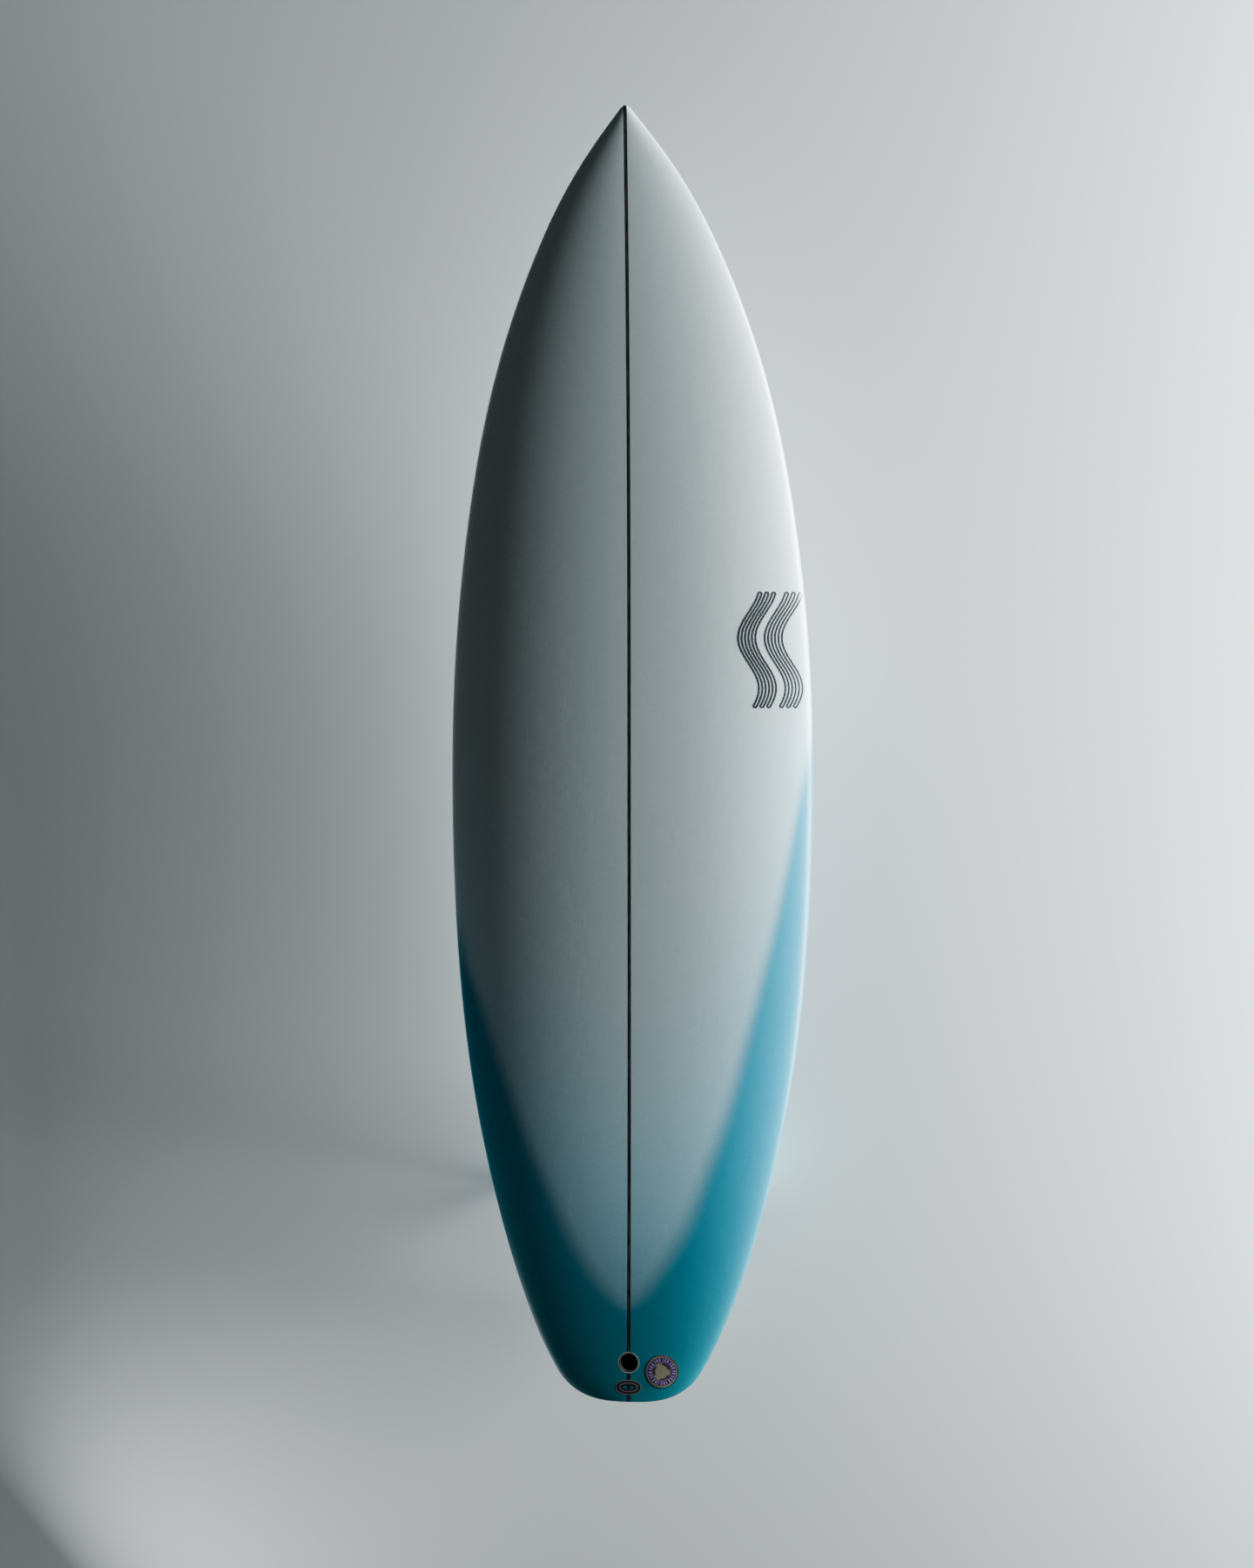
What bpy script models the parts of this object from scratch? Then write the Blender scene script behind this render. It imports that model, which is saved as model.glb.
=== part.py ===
"""Shortboard surfboard: foam core in two halves, stringer, glass skins, leash plug and three fins.

X runs across the board, Y from tail to nose and Z up. The origin is under the middle of the
board's length and level with the lowest fin tips, on which the tail stands. A place along the
board is given as its distance from the tail, called its station.
"""

import math

import bmesh
import bpy
import numpy as np
from mathutils import Matrix, Vector

# Driving dimensions of the board, in metres
LENGTH = 1.727
THICKNESS = 0.0603
NOSE_ROCKER = 0.124
TAIL_ROCKER = 0.057
FLAT_STATION = 0.812
THICKEST_STATION = 0.864
TAIL_THICKNESS = 0.016
NOSE_THICKNESS = 0.008
TAIL_ROCKER_CURVE = 2.3
NOSE_ROCKER_CURVE = 2.4
TAIL_TAPER_CURVE = 1.9
NOSE_TAPER_CURVE = 2.0
TAIL_FLAT = 0.030
TAIL_CORNER_RADIUS = 0.080
TAIL_CORNER_ANGLE = math.radians(58)
NOSE_SLOPE = -0.87
OUTLINE = (  # station and half width, from the end of the tail corner to the nose tip
    (0.120, 0.1380),
    (0.260, 0.1835),
    (0.450, 0.2230),
    (0.640, 0.2420),
    (0.825, 0.2475),
    (1.010, 0.2425),
    (1.200, 0.2220),
    (1.380, 0.1845),
    (1.540, 0.1260),
    (1.660, 0.0580),
    (LENGTH, 0.0040),
)

# Section of the board
APEX_SHARE = 0.34
DECK_FULLNESS = 2.15
CONCAVE = 0.0020
TAIL_TUCK = 0.006
NOSE_TUCK = 0.024
TUCK_STATION = 0.70
MOST_TUCK_SHARE = 0.45

# Layers
GAP = 0.0003
DECK_GLASS = 0.0010
BOTTOM_GLASS = 0.0007
GLASS_SEAM = DECK_GLASS + GAP
CORE_INSET = DECK_GLASS + GAP
STRINGER_WIDTH = 0.004
CHAMFER = 0.0006
FILM_LIFT = 0.0005
FILM_THICKNESS = 0.0003

# Leash plug
PLUG_STATION = 0.054
PLUG_RADIUS = 0.0135
PLUG_DEPTH = 0.014
PLUG_FLOOR = 0.0015
WELL_RADIUS = 0.011
PIN_RADIUS = 0.0015
PIN_LENGTH = 0.0252
PIN_DROP = 0.0045
PLUG_RESIN = 0.0014
PLUG_BORE_LENGTH = 0.1

# Fins and their boxes
FIN_BASE = 0.111
FIN_THICKNESS = 0.0068
FIN_EDGE = 0.0006
FIN_LEADING = ((0.0555, 0.0), (0.034, 0.045), (-0.010, 0.100), (-0.064, 0.112))
FIN_TRAILING = ((-0.0555, 0.0), (-0.049, 0.035), (-0.052, 0.078), (-0.0725, 0.1055))
FOOT_LENGTH = FIN_BASE + 0.001
FOOT_HEIGHT = 0.003
FOOT_WIDTH = 0.0076
BOX_FRONT = 0.070
BOX_BACK = -0.060
BOX_WIDTH = 0.0155
BOX_DEPTH = 0.014
BOX_RESIN = 0.0008
BOX_SUNK = 0.0004
TAB_LENGTH = 0.107
TAB_DEPTH = 0.012
TAB_WIDTH = 0.006
SIDE_FIN_TRAILING_STATION = 0.280
SIDE_FIN_FROM_RAIL = 0.030
CENTER_FIN_TRAILING_STATION = 0.089
CANT = math.radians(6.5)
TOE_IN = math.radians(2.0)
SCREW_RADIUS = 0.0025
SCREW_LENGTH = 0.008
SCREW_HOLE_RADIUS = 0.0028
SCREW_BORE_LENGTH = 0.03
SCREW_TILT = math.radians(45)
SCREW_TIP_HEIGHT = 0.0075
HEX_RADIUS = 0.00144
HEX_DEPTH = 0.003

# Films on the deck: place across, station, and size
DECK_MARK = {"x": 0.186, "station": 1.023, "width": 0.072, "length": 0.150}
TAIL_MARK = {"x": 0.0, "station": 0.0215, "width": 0.036, "length": 0.021}
STICKER = {"x": 0.0455, "station": 0.0425, "radius": 0.0225}

# How finely the shapes are cut
STEPS_PER_SPAN = 3
CORNER_STEPS = 4
BOTTOM_STEPS = 4
RAIL_STEPS = 3
DECK_STEPS = 6
FIN_STEPS = 9
TURN_STEPS = 24
SCREW_SIDES = 12
FOIL_SHARES = (0.0, 0.06, 0.2, 0.42, 0.7, 1.0)

GLASS_COLOR = (0.86, 0.88, 0.89)
TEAL = (0.05, 0.55, 0.58)
FOAM = (0.93, 0.91, 0.84)
WOOD = (0.55, 0.38, 0.21)
BLACK = (0.02, 0.02, 0.022)
RESIN = (0.80, 0.78, 0.66)
STEEL = (0.62, 0.63, 0.65)
INK = (0.03, 0.03, 0.035)
SAND = (0.72, 0.62, 0.45)


class Spline:
    """A smooth curve through points, with a stated slope at each end."""

    def __init__(self, points, first_slope, last_slope):
        self.x, self.y = np.array(points).T
        step = np.diff(self.x)
        rise = np.diff(self.y) / step
        count = len(self.x)
        rows = np.eye(count)
        right = np.zeros(count)
        right[0], right[-1] = first_slope, last_slope
        for i in range(1, count - 1):
            rows[i, i - 1 : i + 2] = step[i], 2 * (step[i - 1] + step[i]), step[i - 1]
            right[i] = 3 * (step[i] * rise[i - 1] + step[i - 1] * rise[i])
        self.slope = np.linalg.solve(rows, right)

    def __call__(self, at):
        i = min(max(int(np.searchsorted(self.x, at)) - 1, 0), len(self.x) - 2)
        step = self.x[i + 1] - self.x[i]
        t = (at - self.x[i]) / step
        value = (2 * t**3 - 3 * t**2 + 1) * self.y[i] + (3 * t**2 - 2 * t**3) * self.y[i + 1]
        value += step * (t**3 - 2 * t**2 + t) * self.slope[i]
        value += step * (t**3 - t**2) * self.slope[i + 1]
        return float(value)


CORNER_END = TAIL_CORNER_RADIUS * (1 - math.cos(TAIL_CORNER_ANGLE))
CORNER_WIDTH = TAIL_FLAT + TAIL_CORNER_RADIUS * math.sin(TAIL_CORNER_ANGLE)
OUTLINE_CURVE = Spline(
    ((CORNER_END, CORNER_WIDTH), *OUTLINE), 1 / math.tan(TAIL_CORNER_ANGLE), NOSE_SLOPE
)


def half_width(station):
    """Half the board's width: the tail's round corner, then the outline curve."""
    if station >= CORNER_END:
        return OUTLINE_CURVE(station)
    drop = 1 - station / TAIL_CORNER_RADIUS
    return TAIL_FLAT + TAIL_CORNER_RADIUS * math.sqrt(1 - drop**2)


def rocker(station):
    """Height of the bottom's centre line above its flattest point."""
    if station < FLAT_STATION:
        return TAIL_ROCKER * (1 - station / FLAT_STATION) ** TAIL_ROCKER_CURVE
    along = (station - FLAT_STATION) / (LENGTH - FLAT_STATION)
    return NOSE_ROCKER * along**NOSE_ROCKER_CURVE


def thickness(station):
    """Thickness of the board on its centre line."""
    if station < THICKEST_STATION:
        away = 1 - station / THICKEST_STATION
        end, power = TAIL_THICKNESS, TAIL_TAPER_CURVE
    else:
        away = (station - THICKEST_STATION) / (LENGTH - THICKEST_STATION)
        end, power = NOSE_THICKNESS, NOSE_TAPER_CURVE
    return end + (THICKNESS - end) * (1 - away**power)


def tuck(station):
    """How far in from the rail the bottom's edge lies."""
    share = min(station / TUCK_STATION, 1.0)
    reach = TAIL_TUCK + (NOSE_TUCK - TAIL_TUCK) * share**2 * (3 - 2 * share)
    return min(reach, MOST_TUCK_SHARE * half_width(station))


def deck_height(x, station):
    """Height of the deck's surface at a place."""
    apex = APEX_SHARE * thickness(station)
    inside = max(1 - (abs(x) / half_width(station)) ** DECK_FULLNESS, 0)
    return rocker(station) + apex + (thickness(station) - apex) * inside ** (1 / DECK_FULLNESS)


def slope_of(height, station, step=0.001):
    """The angle at which a height rises towards the nose."""
    return math.atan((height(station + step) - height(station - step)) / (2 * step))


def half_section(station):
    """Points (x, height) on the right of the centre line, from the bottom round to the deck."""
    width, depth, base = half_width(station), thickness(station), rocker(station)
    apex, reach = APEX_SHARE * depth, tuck(station)
    flat = width - reach
    hollow = CONCAVE * math.sin(math.pi * station / LENGTH)
    points = []
    for i in range(BOTTOM_STEPS + 1):
        share = i / BOTTOM_STEPS
        points.append((flat * share, base + hollow * (1 - share**2)))
    for i in range(1, RAIL_STEPS + 1):
        turn = math.pi / 2 * i / RAIL_STEPS
        points.append((flat + reach * math.sin(turn), base + apex * (1 - math.cos(turn))))
    for i in range(1, DECK_STEPS):
        turn = math.pi / 2 * i / DECK_STEPS
        x = width * math.cos(turn) ** (2 / DECK_FULLNESS)
        points.append((x, deck_height(x, station)))
    points.append((0.0, base + depth))
    return points


def stations():
    """Where the sections stand, closest together round the tail's corner."""
    turns = [TAIL_CORNER_ANGLE * i / CORNER_STEPS for i in range(CORNER_STEPS)]
    found = [TAIL_CORNER_RADIUS * (1 - math.cos(turn)) for turn in turns]
    ends = [CORNER_END, *(station for station, _ in OUTLINE)]
    for start, end in zip(ends, ends[1:]):
        found += [start + (end - start) * i / STEPS_PER_SPAN for i in range(STEPS_PER_SPAN)]
    return [*found, LENGTH]


def material(name, color, roughness, metallic=0.0):
    """A plain material of the piece's own colour."""
    made = bpy.data.materials.new(name)
    made.use_nodes = True
    shader = made.node_tree.nodes["Principled BSDF"]
    shader.inputs["Base Color"].default_value = (*color, 1)
    shader.inputs["Roughness"].default_value = roughness
    shader.inputs["Metallic"].default_value = metallic
    return made


def empty(name, matrix, parent=None):
    """An empty that carries a group of pieces."""
    made = bpy.data.objects.new(name, None)
    bpy.context.scene.collection.objects.link(made)
    made.parent = parent
    made.matrix_local = matrix
    return made


def piece(name, bm, look, parent, smooth=False):
    """A named object made from a bmesh, with its own material."""
    mesh = bpy.data.meshes.new(name)
    bm.to_mesh(mesh)
    bm.free()
    if smooth:
        mesh.shade_smooth()
        mesh.set_sharp_from_angle(angle=math.radians(35))
    made = bpy.data.objects.new(name, mesh)
    bpy.context.scene.collection.objects.link(made)
    made.parent = parent
    made.data.materials.append(look)
    return made


def cutter(name, bm, parent):
    """A shape that is only cut away from other pieces."""
    made = piece(name, bm, bpy.data.materials.new(name), parent)
    made.hide_render = True
    made.display_type = "WIRE"
    return made


def cut(target, tool):
    """Cuts one shape out of a piece."""
    step = target.modifiers.new(f"cut_{tool.name}", "BOOLEAN")
    step.operation = "DIFFERENCE"
    step.solver = "EXACT"
    step.object = tool


def close_row(bm, row):
    """Joins a row of vertices into a closed loop of edges."""
    return [bm.edges.new((row[i - 1], row[i])) for i in range(len(row))]


def extrude_row(bm, row, edges, ring):
    """Extrudes a closed row to the points of the next ring, and returns the new row and edges."""
    made = bmesh.ops.extrude_edge_only(bm, edges=edges)["geom"]
    fresh = {item for item in made if isinstance(item, bmesh.types.BMVert)}
    copies = []
    for vert, point in zip(row, ring):
        ends = [edge.other_vert(vert) for edge in vert.link_edges]
        copy = next(end for end in ends if end in fresh)
        copy.co = point
        copies.append(copy)
    loop = [bm.edges.get((copies[i - 1], copies[i])) for i in range(len(copies))]
    return copies, loop


def loft(rings):
    """A closed body through rings of points, with its first and last ring filled.

    Returns the bmesh and the vertices of each ring.
    """
    bm = bmesh.new()
    row = [bm.verts.new(point) for point in rings[0]]
    first = loop = close_row(bm, row)
    rows = [row]
    for ring in rings[1:]:
        row, loop = extrude_row(bm, row, loop, ring)
        rows.append(row)
    for end in (first, loop):
        bmesh.ops.contextual_create(bm, geom=end)
    bmesh.ops.recalc_face_normals(bm, faces=bm.faces[:])
    return bm, rows


def turned(profile, steps=TURN_STEPS):
    """A body turned about Z from a profile of (radius, height) points that ends on the axis."""
    bm = bmesh.new()
    verts = [bm.verts.new((radius, 0, height)) for radius, height in profile]
    edges = [bm.edges.new(pair) for pair in zip(verts, verts[1:])]
    bmesh.ops.spin(
        bm,
        geom=verts + edges,
        cent=(0, 0, 0),
        axis=(0, 0, 1),
        angle=2 * math.pi,
        steps=steps,
        use_merge=True,
    )
    bmesh.ops.remove_doubles(bm, verts=bm.verts[:], dist=1e-6)
    bmesh.ops.recalc_face_normals(bm, faces=bm.faces[:])
    return bm


def rod(radius, length, matrix):
    """A plain round rod centred on a matrix, along its Z."""
    bm = bmesh.new()
    bmesh.ops.create_cone(
        bm,
        cap_ends=True,
        segments=16,
        radius1=radius,
        radius2=radius,
        depth=length,
        matrix=matrix,
    )
    return bm


def hull():
    """The board's whole outer surface, and the vertices on its flat bottom."""
    rings = []
    for station in stations():
        half = half_section(station)
        points = half + [(-x, z) for x, z in reversed(half[1:-1])]
        rings.append([(x, station - LENGTH / 2, z) for x, z in points])
    bm, rows = loft(rings)
    bottom = set()
    for row in rows:
        bottom.update(row[: BOTTOM_STEPS + 1])
        bottom.update(row[len(row) - BOTTOM_STEPS :])
    return bm, bottom


def bottom_faces(bm, bottom):
    """The faces between the two bottom edges."""
    return [face for face in bm.faces if all(vert in bottom for vert in face.verts)]


def add_thickness(target, amount):
    """Gives an open sheet its thickness, inwards from the surface it was made on."""
    wall = target.modifiers.new("thickness", "SOLIDIFY")
    wall.thickness = amount
    wall.offset = -1
    wall.use_even_offset = True


def make_deck_glass(parent):
    """The skin over the deck and round the rails, nose and tail, down to the bottom's edge."""
    bm, bottom = hull()
    bmesh.ops.delete(bm, geom=bottom_faces(bm, bottom), context="FACES")
    made = piece("deck_glass", bm, material("deck_glass", GLASS_COLOR, 0.35), parent, True)
    add_thickness(made, DECK_GLASS)
    return made


def make_bottom_glass(parent):
    """The skin over the bottom, just clear of the deck's skin all round."""
    bm, bottom = hull()
    kept = set(bottom_faces(bm, bottom))
    others = [face for face in bm.faces if face not in kept]
    bmesh.ops.delete(bm, geom=others, context="FACES")
    rim = bmesh.ops.inset_region(
        bm, faces=bm.faces[:], thickness=GLASS_SEAM, use_boundary=True, use_even_offset=True
    )
    bmesh.ops.delete(bm, geom=rim["faces"], context="FACES")
    made = piece("bottom_glass", bm, material("bottom_glass", TEAL, 0.3), parent, True)
    add_thickness(made, BOTTOM_GLASS)
    return made


def core_block():
    """The whole foam core: the board's surface moved in by the skin."""
    bm, _ = hull()
    bm.normal_update()
    moves = [(vert, vert.normal * CORE_INSET * vert.calc_shell_factor()) for vert in bm.verts]
    for vert, move in moves:
        vert.co -= move
    return bm


def keep_side(bm, x, side):
    """Keeps what lies on one side of a plane across X, and closes the cut."""
    parts = bm.verts[:] + bm.edges[:] + bm.faces[:]
    bmesh.ops.bisect_plane(
        bm, geom=parts, dist=1e-6, plane_co=(x, 0, 0), plane_no=(-side, 0, 0), clear_outer=True
    )
    rim = [edge for edge in bm.edges if edge.is_boundary]
    bmesh.ops.contextual_create(bm, geom=rim)
    bmesh.ops.recalc_face_normals(bm, faces=bm.faces[:])


def make_core_half(side, name, parent):
    """One half of the foam core, glued to the stringer's side."""
    bm = core_block()
    keep_side(bm, side * (STRINGER_WIDTH / 2 + GAP), side)
    return piece(name, bm, material(name, FOAM, 0.9), parent)


def make_stringer(parent):
    """The thin wooden board on edge that runs the whole length."""
    bm = core_block()
    for side in (1, -1):
        keep_side(bm, -side * STRINGER_WIDTH / 2, side)
    return piece("stringer", bm, material("stringer", WOOD, 0.6), parent)


def make_leash_plug(parent, shell):
    """The leash plug near the tail: its cup, the pin across it and its bed of resin."""
    tilt = slope_of(lambda station: deck_height(0, station), PLUG_STATION)
    place = Matrix.Translation((0, PLUG_STATION - LENGTH / 2, deck_height(0, PLUG_STATION)))
    seat = empty("leash_plug_seat", place @ Matrix.Rotation(tilt, 4, "X"), parent)
    cup = turned(
        (
            (0, -PLUG_DEPTH),
            (PLUG_RADIUS - CHAMFER, -PLUG_DEPTH),
            (PLUG_RADIUS, -PLUG_DEPTH + CHAMFER),
            (PLUG_RADIUS, 0),
            (WELL_RADIUS, 0),
            (WELL_RADIUS, PLUG_FLOOR - PLUG_DEPTH),
            (0, PLUG_FLOOR - PLUG_DEPTH),
        )
    )
    made = piece("leash_plug_cup", cup, material("leash_plug_cup", BLACK, 0.45), seat, True)
    across = Matrix.Translation((0, 0, -PIN_DROP)) @ Matrix.Rotation(math.pi / 2, 4, "Y")
    hole = rod(PIN_RADIUS + GAP, PIN_LENGTH + 2 * GAP, across)
    cut(made, cutter("pin_hole", hole, seat))
    pin = rod(PIN_RADIUS, PIN_LENGTH, across)
    piece("leash_plug_pin", pin, material("leash_plug_pin", STEEL, 0.3, 1.0), seat, True)
    inner = PLUG_RADIUS + GAP
    outer = inner + PLUG_RESIN
    floor = PLUG_DEPTH + GAP
    bed = turned(
        (
            (0, -floor - PLUG_RESIN),
            (outer, -floor - PLUG_RESIN),
            (outer, 0),
            (inner, 0),
            (inner, -floor),
            (0, -floor),
        )
    )
    piece("leash_plug_resin", bed, material("leash_plug_resin", RESIN, 0.4), seat, True)
    middle = PLUG_BORE_LENGTH / 2 - floor - PLUG_RESIN - GAP
    bore = rod(outer + GAP, PLUG_BORE_LENGTH, Matrix.Translation((0, 0, middle)))
    hole = cutter("plug_bore", bore, seat)
    for target in shell:
        cut(target, hole)


def lobe(front, back, width, low, high):
    """A block with round ends, between two places along Y and two heights."""
    radius = width / 2
    steps = 6
    outline = []
    for centre, start in ((front - radius, 0.0), (back + radius, math.pi)):
        for i in range(steps + 1):
            turn = start + math.pi * i / steps
            outline.append((radius * math.cos(turn), centre + radius * math.sin(turn)))
    return loft([[(x, y, height) for x, y in outline] for height in (low, high)])[0]


def slab(x, y, low, high):
    """A square block centred on Z, between two heights."""
    corners = ((-x, -y), (x, -y), (x, y), (-x, y))
    return loft([[(a, b, height) for a, b in corners] for height in (low, high)])[0]


def bezier(points, share):
    """A point on a cubic curve through four control points."""
    a, b, c, d = (Vector(point) for point in points)
    rest = 1 - share
    return a * rest**3 + b * 3 * rest**2 * share + c * 3 * rest * share**2 + d * share**3


def foil(share):
    """Half the thickness of a foil at a share of its chord, as a part of its full thickness."""
    curve = 0.2969 * math.sqrt(share) - 0.126 * share - 0.3516 * share**2
    return 5 * (curve + 0.2843 * share**3 - 0.1036 * share**4)


def block_ring(length, width, height):
    """A ring with straight sides that matches a foil's ring point for point."""
    sides = [(width / 2, length * (0.5 - share), height) for share in FOIL_SHARES]
    return sides + [(-x, y, z) for x, y, z in reversed(sides)]


def foil_ring(share, inside):
    """One section of a fin. Inside is the side of its flat face, or 0 for two curved faces."""
    front, back = bezier(FIN_LEADING, share), bezier(FIN_TRAILING, share)
    full = FIN_THICKNESS * (1 - 0.8 * share**1.3)
    one, other = [], []
    for along in FOIL_SHARES:
        y, depth = front.lerp(back, along)
        bulge = full * foil(along) + FIN_EDGE / 2
        if inside:
            face = inside * FIN_THICKNESS / 2
            pair = sorted((face, face - inside * 2 * bulge), reverse=True)
        else:
            pair = (bulge, -bulge)
        one.append((pair[0], y, -depth - FOOT_HEIGHT))
        other.append((pair[1], y, -depth - FOOT_HEIGHT))
    return one + other[::-1]


def fin_mesh(inside):
    """A fin's tab, its foot and its blade, as one body."""
    rings = [
        block_ring(TAB_LENGTH, TAB_WIDTH, TAB_DEPTH),
        block_ring(TAB_LENGTH, TAB_WIDTH, -BOX_SUNK),
        block_ring(FOOT_LENGTH, FOOT_WIDTH, -BOX_SUNK),
        block_ring(FOOT_LENGTH, FOOT_WIDTH, -FOOT_HEIGHT / 2),
    ]
    rings += [foil_ring(i / FIN_STEPS, inside) for i in range(FIN_STEPS + 1)]
    return loft(rings)[0]


def circle(radius, height, pulled_in=1.0):
    """A ring of points round Z, with every second one nearer the middle by a share."""
    ring = []
    for i in range(SCREW_SIDES):
        turn = 2 * math.pi * i / SCREW_SIDES
        out = radius * (pulled_in if i % 2 else 1.0)
        ring.append((out * math.cos(turn), out * math.sin(turn), height))
    return ring


def screw_mesh():
    """A grub screw along Z with its tip at the origin and a hexagon socket in its tail."""
    flats = math.cos(2 * math.pi / SCREW_SIDES)
    rings = [
        circle(SCREW_RADIUS - CHAMFER, 0),
        circle(SCREW_RADIUS, -CHAMFER),
        circle(SCREW_RADIUS, -SCREW_LENGTH),
        circle(HEX_RADIUS, -SCREW_LENGTH, flats),
        circle(HEX_RADIUS, HEX_DEPTH - SCREW_LENGTH, flats),
    ]
    return loft(rings)[0]


def screw_matrix():
    """Where the screw's tip stands in the box's frame, and the way it points."""
    reach = TAB_LENGTH / 2 + GAP + SCREW_RADIUS * math.cos(SCREW_TILT)
    return Matrix.Translation((0, reach, SCREW_TIP_HEIGHT)) @ Matrix.Rotation(SCREW_TILT, 4, "X")


def make_fin_set(name, seat, inside, shell):
    """One fin with its box, its screw and its bed of resin, on a seat in the bottom."""
    box = piece(
        f"fin_box_{name}",
        lobe(BOX_FRONT, BOX_BACK, BOX_WIDTH, 0, BOX_DEPTH),
        material(f"fin_box_{name}", BLACK, 0.5),
        seat,
    )
    slot = slab(TAB_WIDTH / 2 + GAP, TAB_LENGTH / 2 + GAP, -BOX_DEPTH, TAB_DEPTH + 2 * GAP)
    cut(box, cutter(f"slot_{name}", slot, seat))
    outwards = Matrix.Translation((0, 0, -SCREW_BORE_LENGTH / 2))
    bore = rod(SCREW_HOLE_RADIUS, SCREW_BORE_LENGTH, screw_matrix() @ outwards)
    cut(box, cutter(f"screw_bore_{name}", bore, seat))
    rim = GAP + BOX_RESIN
    resin = piece(
        f"fin_box_resin_{name}",
        lobe(BOX_FRONT + rim, BOX_BACK - rim, BOX_WIDTH + 2 * rim, 0, BOX_DEPTH + rim),
        material(f"fin_box_resin_{name}", RESIN, 0.4),
        seat,
    )
    room = lobe(
        BOX_FRONT + GAP, BOX_BACK - GAP, BOX_WIDTH + 2 * GAP, -BOX_DEPTH, BOX_DEPTH + GAP
    )
    cut(resin, cutter(f"box_room_{name}", room, seat))
    piece(f"fin_{name}", fin_mesh(inside), material(f"fin_{name}", TEAL, 0.3), seat, True)
    screw = piece(
        f"fin_screw_{name}", screw_mesh(), material(f"fin_screw_{name}", STEEL, 0.3, 1.0), seat
    )
    screw.matrix_local = screw_matrix()
    rim += GAP
    pocket = lobe(
        BOX_FRONT + rim, BOX_BACK - rim, BOX_WIDTH + 2 * rim, -BOX_DEPTH, BOX_DEPTH + rim
    )
    hole = cutter(f"pocket_{name}", pocket, seat)
    for target in shell:
        cut(target, hole)


def fin_seat(name, side, parent):
    """An empty on the bottom where a fin's base is centred, turned as the fin stands.

    Side is 1 on the right, -1 on the left and 0 for the centre fin.
    """
    trailing = SIDE_FIN_TRAILING_STATION if side else CENTER_FIN_TRAILING_STATION
    middle = trailing + FIN_BASE / 2
    toe = side * TOE_IN
    back = half_width(trailing) - SIDE_FIN_FROM_RAIL
    x = side * (back - math.sin(TOE_IN) * FIN_BASE / 2)
    place = Matrix.Translation((x, middle - LENGTH / 2, rocker(middle) + BOX_SUNK))
    turn = Matrix.Rotation(toe, 4, "Z") @ Matrix.Rotation(slope_of(rocker, middle), 4, "X")
    return empty(f"fin_seat_{name}", place @ turn @ Matrix.Rotation(-side * CANT, 4, "Y"), parent)


def drape(bm, x, station):
    """Lays a flat sheet, drawn round the origin, on the deck with a small gap under it."""
    for vert in bm.verts:
        vert.co.x += x
        vert.co.y += station
        vert.co.z = deck_height(vert.co.x, vert.co.y) + FILM_LIFT
        vert.co.y -= LENGTH / 2


def make_film(name, bm, place, color, parent):
    """A thin printed film on the deck's skin."""
    drape(bm, place["x"], place["station"])
    bmesh.ops.recalc_face_normals(bm, faces=bm.faces[:])
    if sum(face.normal.z for face in bm.faces) < 0:
        bmesh.ops.reverse_faces(bm, faces=bm.faces[:])
    made = piece(name, bm, material(name, color, 0.4), parent, True)
    wall = made.modifiers.new("thickness", "SOLIDIFY")
    wall.thickness = FILM_THICKNESS
    wall.offset = 1


def sheet(place, across, along):
    """A flat sheet of squares, centred on the origin."""
    bm = bmesh.new()
    bmesh.ops.create_grid(bm, x_segments=across, y_segments=along, size=0.5)
    bmesh.ops.scale(bm, vec=(place["width"], place["length"], 1), verts=bm.verts[:])
    return bm


def make_films(parent):
    """The printed marks and the round sticker."""
    make_film("deck_mark", sheet(DECK_MARK, 8, 4), DECK_MARK, INK, parent)
    make_film("tail_mark", sheet(TAIL_MARK, 3, 2), TAIL_MARK, INK, parent)
    radius = STICKER["radius"]
    disc = turned([(radius * i / 3, 0) for i in range(4)])
    make_film("round_sticker", disc, STICKER, SAND, parent)


def main():
    """Builds the board with the flattest point of its bottom at height 0, then lifts it."""
    for thing in list(bpy.data.objects):
        bpy.data.objects.remove(thing, do_unlink=True)
    board = empty("board", Matrix())
    deck = make_deck_glass(board)
    bottom = make_bottom_glass(board)
    left = make_core_half(-1, "foam_core_left", board)
    right = make_core_half(1, "foam_core_right", board)
    stringer = make_stringer(board)
    make_leash_plug(board, (deck, left, right, stringer))
    cored = {"left": (bottom, left), "right": (bottom, right)}
    cored["center"] = (bottom, left, right, stringer)
    for name, side in (("left", -1), ("right", 1), ("center", 0)):
        make_fin_set(name, fin_seat(name, side, board), -side, cored[name])
    make_films(board)
    bpy.context.view_layer.update()
    fins = [thing for thing in bpy.data.objects if thing.name in ("fin_left", "fin_right")]
    lowest = min((fin.matrix_world @ vert.co).z for fin in fins for vert in fin.data.vertices)
    board.location.z = -lowest


main()
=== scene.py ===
"""The looks of a shortboard surfboard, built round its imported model.

X runs across the board, Y from tail to nose and Z up, in metres. A place along the board is given
as its distance from the tail, called its station.
"""

from __future__ import annotations

import logging
import math
import sys
from collections.abc import Callable, Iterable, Sequence
from dataclasses import dataclass
from enum import Enum
from typing import Any

import bmesh
import bpy
import numpy as np
from mathutils import Matrix, Vector

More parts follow.
